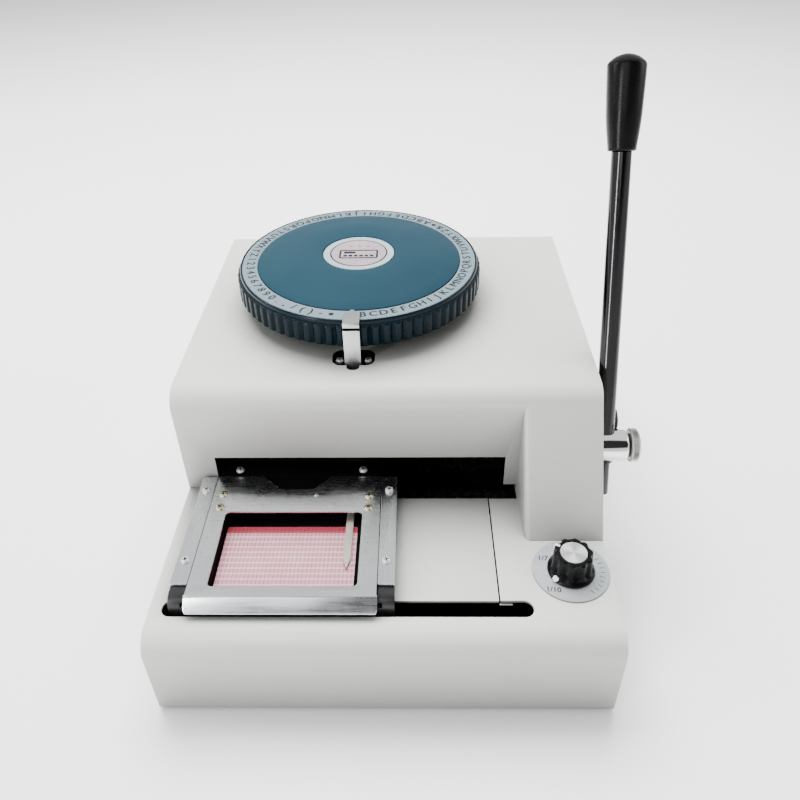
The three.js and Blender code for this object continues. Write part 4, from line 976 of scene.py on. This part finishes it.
def build_pitch_knob():
    x, y = knob.x, knob.y
    low, high = node_box("pitch_knob")
    base = deck_z + 1.4
    cap_z = high.z
    pointer = math.radians(148)

    def lobes(angle, radius, z):
        if radius < 10.8 or z < base + 2.4:
            return 0.0
        wave = 0.5 + 0.5 * math.cos(10 * (angle - pointer) + math.pi)
        return -1.7 * wave ** 1.4 * min(1.0, (z - base - 2.4) / 1.2)
    body = lathe([
        (0, base), (14.3, base), (14.6, base + 0.3), (14.6, base + 1.0), (14.3, base + 1.5),
        (13.5, base + 2.3), (12.9, base + 2.9), (12.6, base + 3.6), (12.5, base + 6),
        (12.35, base + 10), (12.2, base + 13.6), (12.05, base + 15.0), (11.6, base + 15.8),
        (10.9, base + 16.1), (10.2, base + 16.2), (8.75, base + 16.2), (8.5, base + 15.4),
        (0, base + 15.4)], 240, lobes)
    put("pitch_knob_body", shifted(body, x, y, 0), black_gloss, "pitch_knob",
        ["pitch_knob"], angle=45)
    cap = lathe([(0, cap_z - 1.9), (8.3, cap_z - 1.9), (8.3, cap_z - 0.5), (8.05, cap_z - 0.15),
                 (7.6, cap_z), (0, cap_z - 0.02)], 96)
    put("pitch_knob_cap", shifted(cap, x, y, 0), cap_metal, "pitch_knob")
    stem = lathe([(0, 48), (3, 48), (3, base + 1), (0, base + 1)], 32)
    put("pitch_knob_stem", shifted(stem, x, y, 0), bright, "pitch_knob",
        bevel=0.3)

    def on_knob(bm, angle, radius, z):
        return turn(bm, Matrix.Translation((x + radius * math.cos(angle),
                                            y + radius * math.sin(angle), z))
                    @ Matrix.Rotation(angle, 4, "Z"))
    mark = block(-1.4, 1.7, -0.75, 0.75, -0.3, 0.12)
    on_knob(mark, pointer, 10.5, base + 16.2)
    down = block(-0.3, 0.25, -0.75, 0.75, -4.2, 0)
    on_knob(down, pointer, 12.15, base + 14.9)
    put("pitch_knob_mark", joined(mark, down), white_ink, "pitch_knob",
        bevel=0.08)
    dot = lathe([(0, -0.3), (1.9, -0.3), (1.9, 0.16), (1.5, 0.34), (0, 0.36)], 28)
    tilt = Matrix.Rotation(math.radians(38), 4, "Y")
    turn(dot, tilt)
    on_knob(dot, math.radians(-142), 13.75, base + 2.0)
    put("pitch_knob_dot", dot, white_ink, "pitch_knob")

    low, high = node_box("pitch_plate")
    radius = (high.x - low.x) / 2
    plate = lathe([(4.5, low.z), (radius - 0.2, low.z), (radius, low.z + 0.2),
                   (radius - 0.05, high.z - 0.15), (radius - 0.3, high.z), (4.5, high.z)], 128)
    put("scale_disc", shifted(plate, x, y, 0), clear_plate, "base",
        ["pitch_plate"])
    words = []
    for label, degrees, reach in (("1/7", 150, 18.6), ("1/10", 229, 19.6)):
        glyph = bold(label, 5.2, 0.1, (0, 0, 0), (0.16, 0, 0.02))
        angle = math.radians(degrees)
        turn(glyph, Matrix.Translation((x + reach * math.cos(angle), y + reach * math.sin(angle),
                                        high.z + 0.02)) @ Matrix.Rotation(
                                            math.radians(-6), 4, "Z"))
        words.append(glyph)
    # Plain graduation ticks on the side where the scale carries no number.
    for i in range(9):
        angle = math.radians(-58 + 10.5 * i)
        tick = block(-1.3 if i % 4 else -2.2, 1.3, -0.2, 0.2, -0.05, 0.05)
        turn(tick, Matrix.Translation((x + 19.6 * math.cos(angle), y + 19.6 * math.sin(angle),
                                       high.z + 0.02)) @ Matrix.Rotation(angle, 4, "Z"))
        words.append(tick)
    put("scale_marks", joined(*words), ink, "base")


# ------------------------------------------------------------------ what stays as CAD

# Pieces that show through the mouth are dark; those in the near-black carry painted shade, so that
# the mouth reads as a dark opening.
CARRIED = {
    "base_plate": dark_steel, "left_frame_plate": dark_steel, "right_frame_plate": dark_steel,
    "upper_bridge": black_and_painted_shade, "lower_bridge": iron, "spindle_seat": iron,
    "rocker_pin": bright, "spindle_post": bright, "front_guide_rod": black_satin,
    "rear_guide_rod": black_and_painted_shade, "shaft_bearing": brass, "main_shaft": black_and_painted_shade,
    "upper_cam": black_and_painted_shade, "press_eccentric": iron, "connecting_rod": dark_steel,
    "upper_rocker": dark_steel, "upper_ram": dark_steel, "ram_spring": dark_steel,
    "rock_shaft": black_and_painted_shade,
    "lower_crank_arm": dark_steel, "lower_ram": bright, "wheel_hub": iron,
    "upper_type_wheel": iron, "lower_type_wheel": iron, "index_gear": iron,
    "detent_arm": dark_steel, "front_slide_block": dark_steel, "rear_slide_block": dark_steel,
    "spacing_rack": bright, "spacing_pawl": dark_steel, "card_clamp": dark_steel,
}


def dress_carried():
    for name, material in CARRIED.items():
        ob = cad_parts[name]
        ob.data.materials.clear()
        ob.data.materials.append(material)
        smooth(ob, 30)


# ------------------------------------------------------------------ stage, light and camera

def build_stage():
    g = Graph("floor")
    shade = g.mix(g.ramp(g.noise(3), 0.0, 1.0), grey(0.95), grey(0.94))
    material = g.done(shade, 0.75)
    bm = bmesh.new()
    bmesh.ops.create_grid(bm, x_segments=2, y_segments=2, size=9.0)
    floor = raw_object(bm, material)
    floor.name = "floor"
    floor.location = (0, 3.0, 0)

    # White all round, with a raised band of dark in front.
    world = bpy.data.worlds.new("studio")
    bpy.context.scene.world = world
    g = Nodes(world, "Generated")
    across, back, up = g.split()
    soft = "SMOOTHSTEP"
    band = g.math("MULTIPLY", g.ramp(up, 0.0, 1.0, 0.22, 0.36, soft),
                  g.ramp(up, 0.0, 1.0, 0.98, 0.93, soft))
    dark = g.math("MULTIPLY", g.ramp(back, 0.0, 1.0, -0.16, -0.36, soft), band)
    light = g.tree.nodes.new("ShaderNodeBackground")
    g.link(g.mix(dark, grey(1.0), grey(0.03)), light.inputs["Color"])
    light.inputs["Strength"].default_value = WORLD_STRENGTH
    output = g.tree.nodes.new("ShaderNodeOutputWorld")
    g.link(light.outputs[0], output.inputs[0])

    def softbox(name, place, target, size, power):
        light = bpy.data.lights.new(name, "AREA")
        light.shape = "RECTANGLE"
        light.size, light.size_y = size
        light.energy = power
        ob = in_scene(name, light)
        ob.location = place
        ob.rotation_mode = "QUATERNION"
        ob.rotation_quaternion = (Vector(target) - Vector(place)).to_track_quat("-Z", "Y")
        ob.visible_camera = False
        return ob
    top = softbox("top_light", (-0.2, 0.75, 1.7), (0, 0, 0.05), (1.7, 1.2), 122)
    top.visible_glossy = False
    softbox("left_light", (-1.6, 0.1, 1.0), (0, 0, 0.1), (0.5, 1.0), 10)
    softbox("strip_light", (-1.5, -1.55, 0.5), (0.13, 0, 0.2), (0.22, 1.3), 30)
    softbox("right_light", (1.7, 0.1, 0.9), (0, 0, 0.1), (0.8, 1.0), 6)
    softbox("front_fill", (-0.55, -1.22, 1.24), (-0.08, -0.16, 0.07), (1.4, 0.9), 10)


def build_camera():
    data = bpy.data.cameras.new("camera")
    ob = in_scene("camera", data)
    yaw, pitch, roll = math.radians(-1.449), math.radians(36.194), math.radians(1.143)
    forward = Vector((math.sin(yaw) * math.cos(pitch), math.cos(yaw) * math.cos(pitch),
                      -math.sin(pitch)))
    level = Vector((math.cos(yaw), -math.sin(yaw), 0))
    down = forward.cross(level)
    if down.z > 0:
        down = -down
    right = level * math.cos(roll) + down * math.sin(roll)
    down = down * math.cos(roll) - level * math.sin(roll)
    turned_to = Matrix((right, -down, -forward)).transposed()
    ob.matrix_world = Matrix.Translation((0.0034, -0.42545, 0.43856)) @ turned_to.to_4x4()
    data.sensor_width = 36
    data.lens = 33.57
    data.shift_y = -0.03125
    data.clip_start = 0.01
    data.clip_end = 60
    bpy.context.scene.camera = ob


build_base()
build_head()
build_feet()
build_dial()
build_index()
build_lever()
build_carriage()
build_card_frame()
build_pitch_knob()
dress_carried()
build_stage()
build_camera()
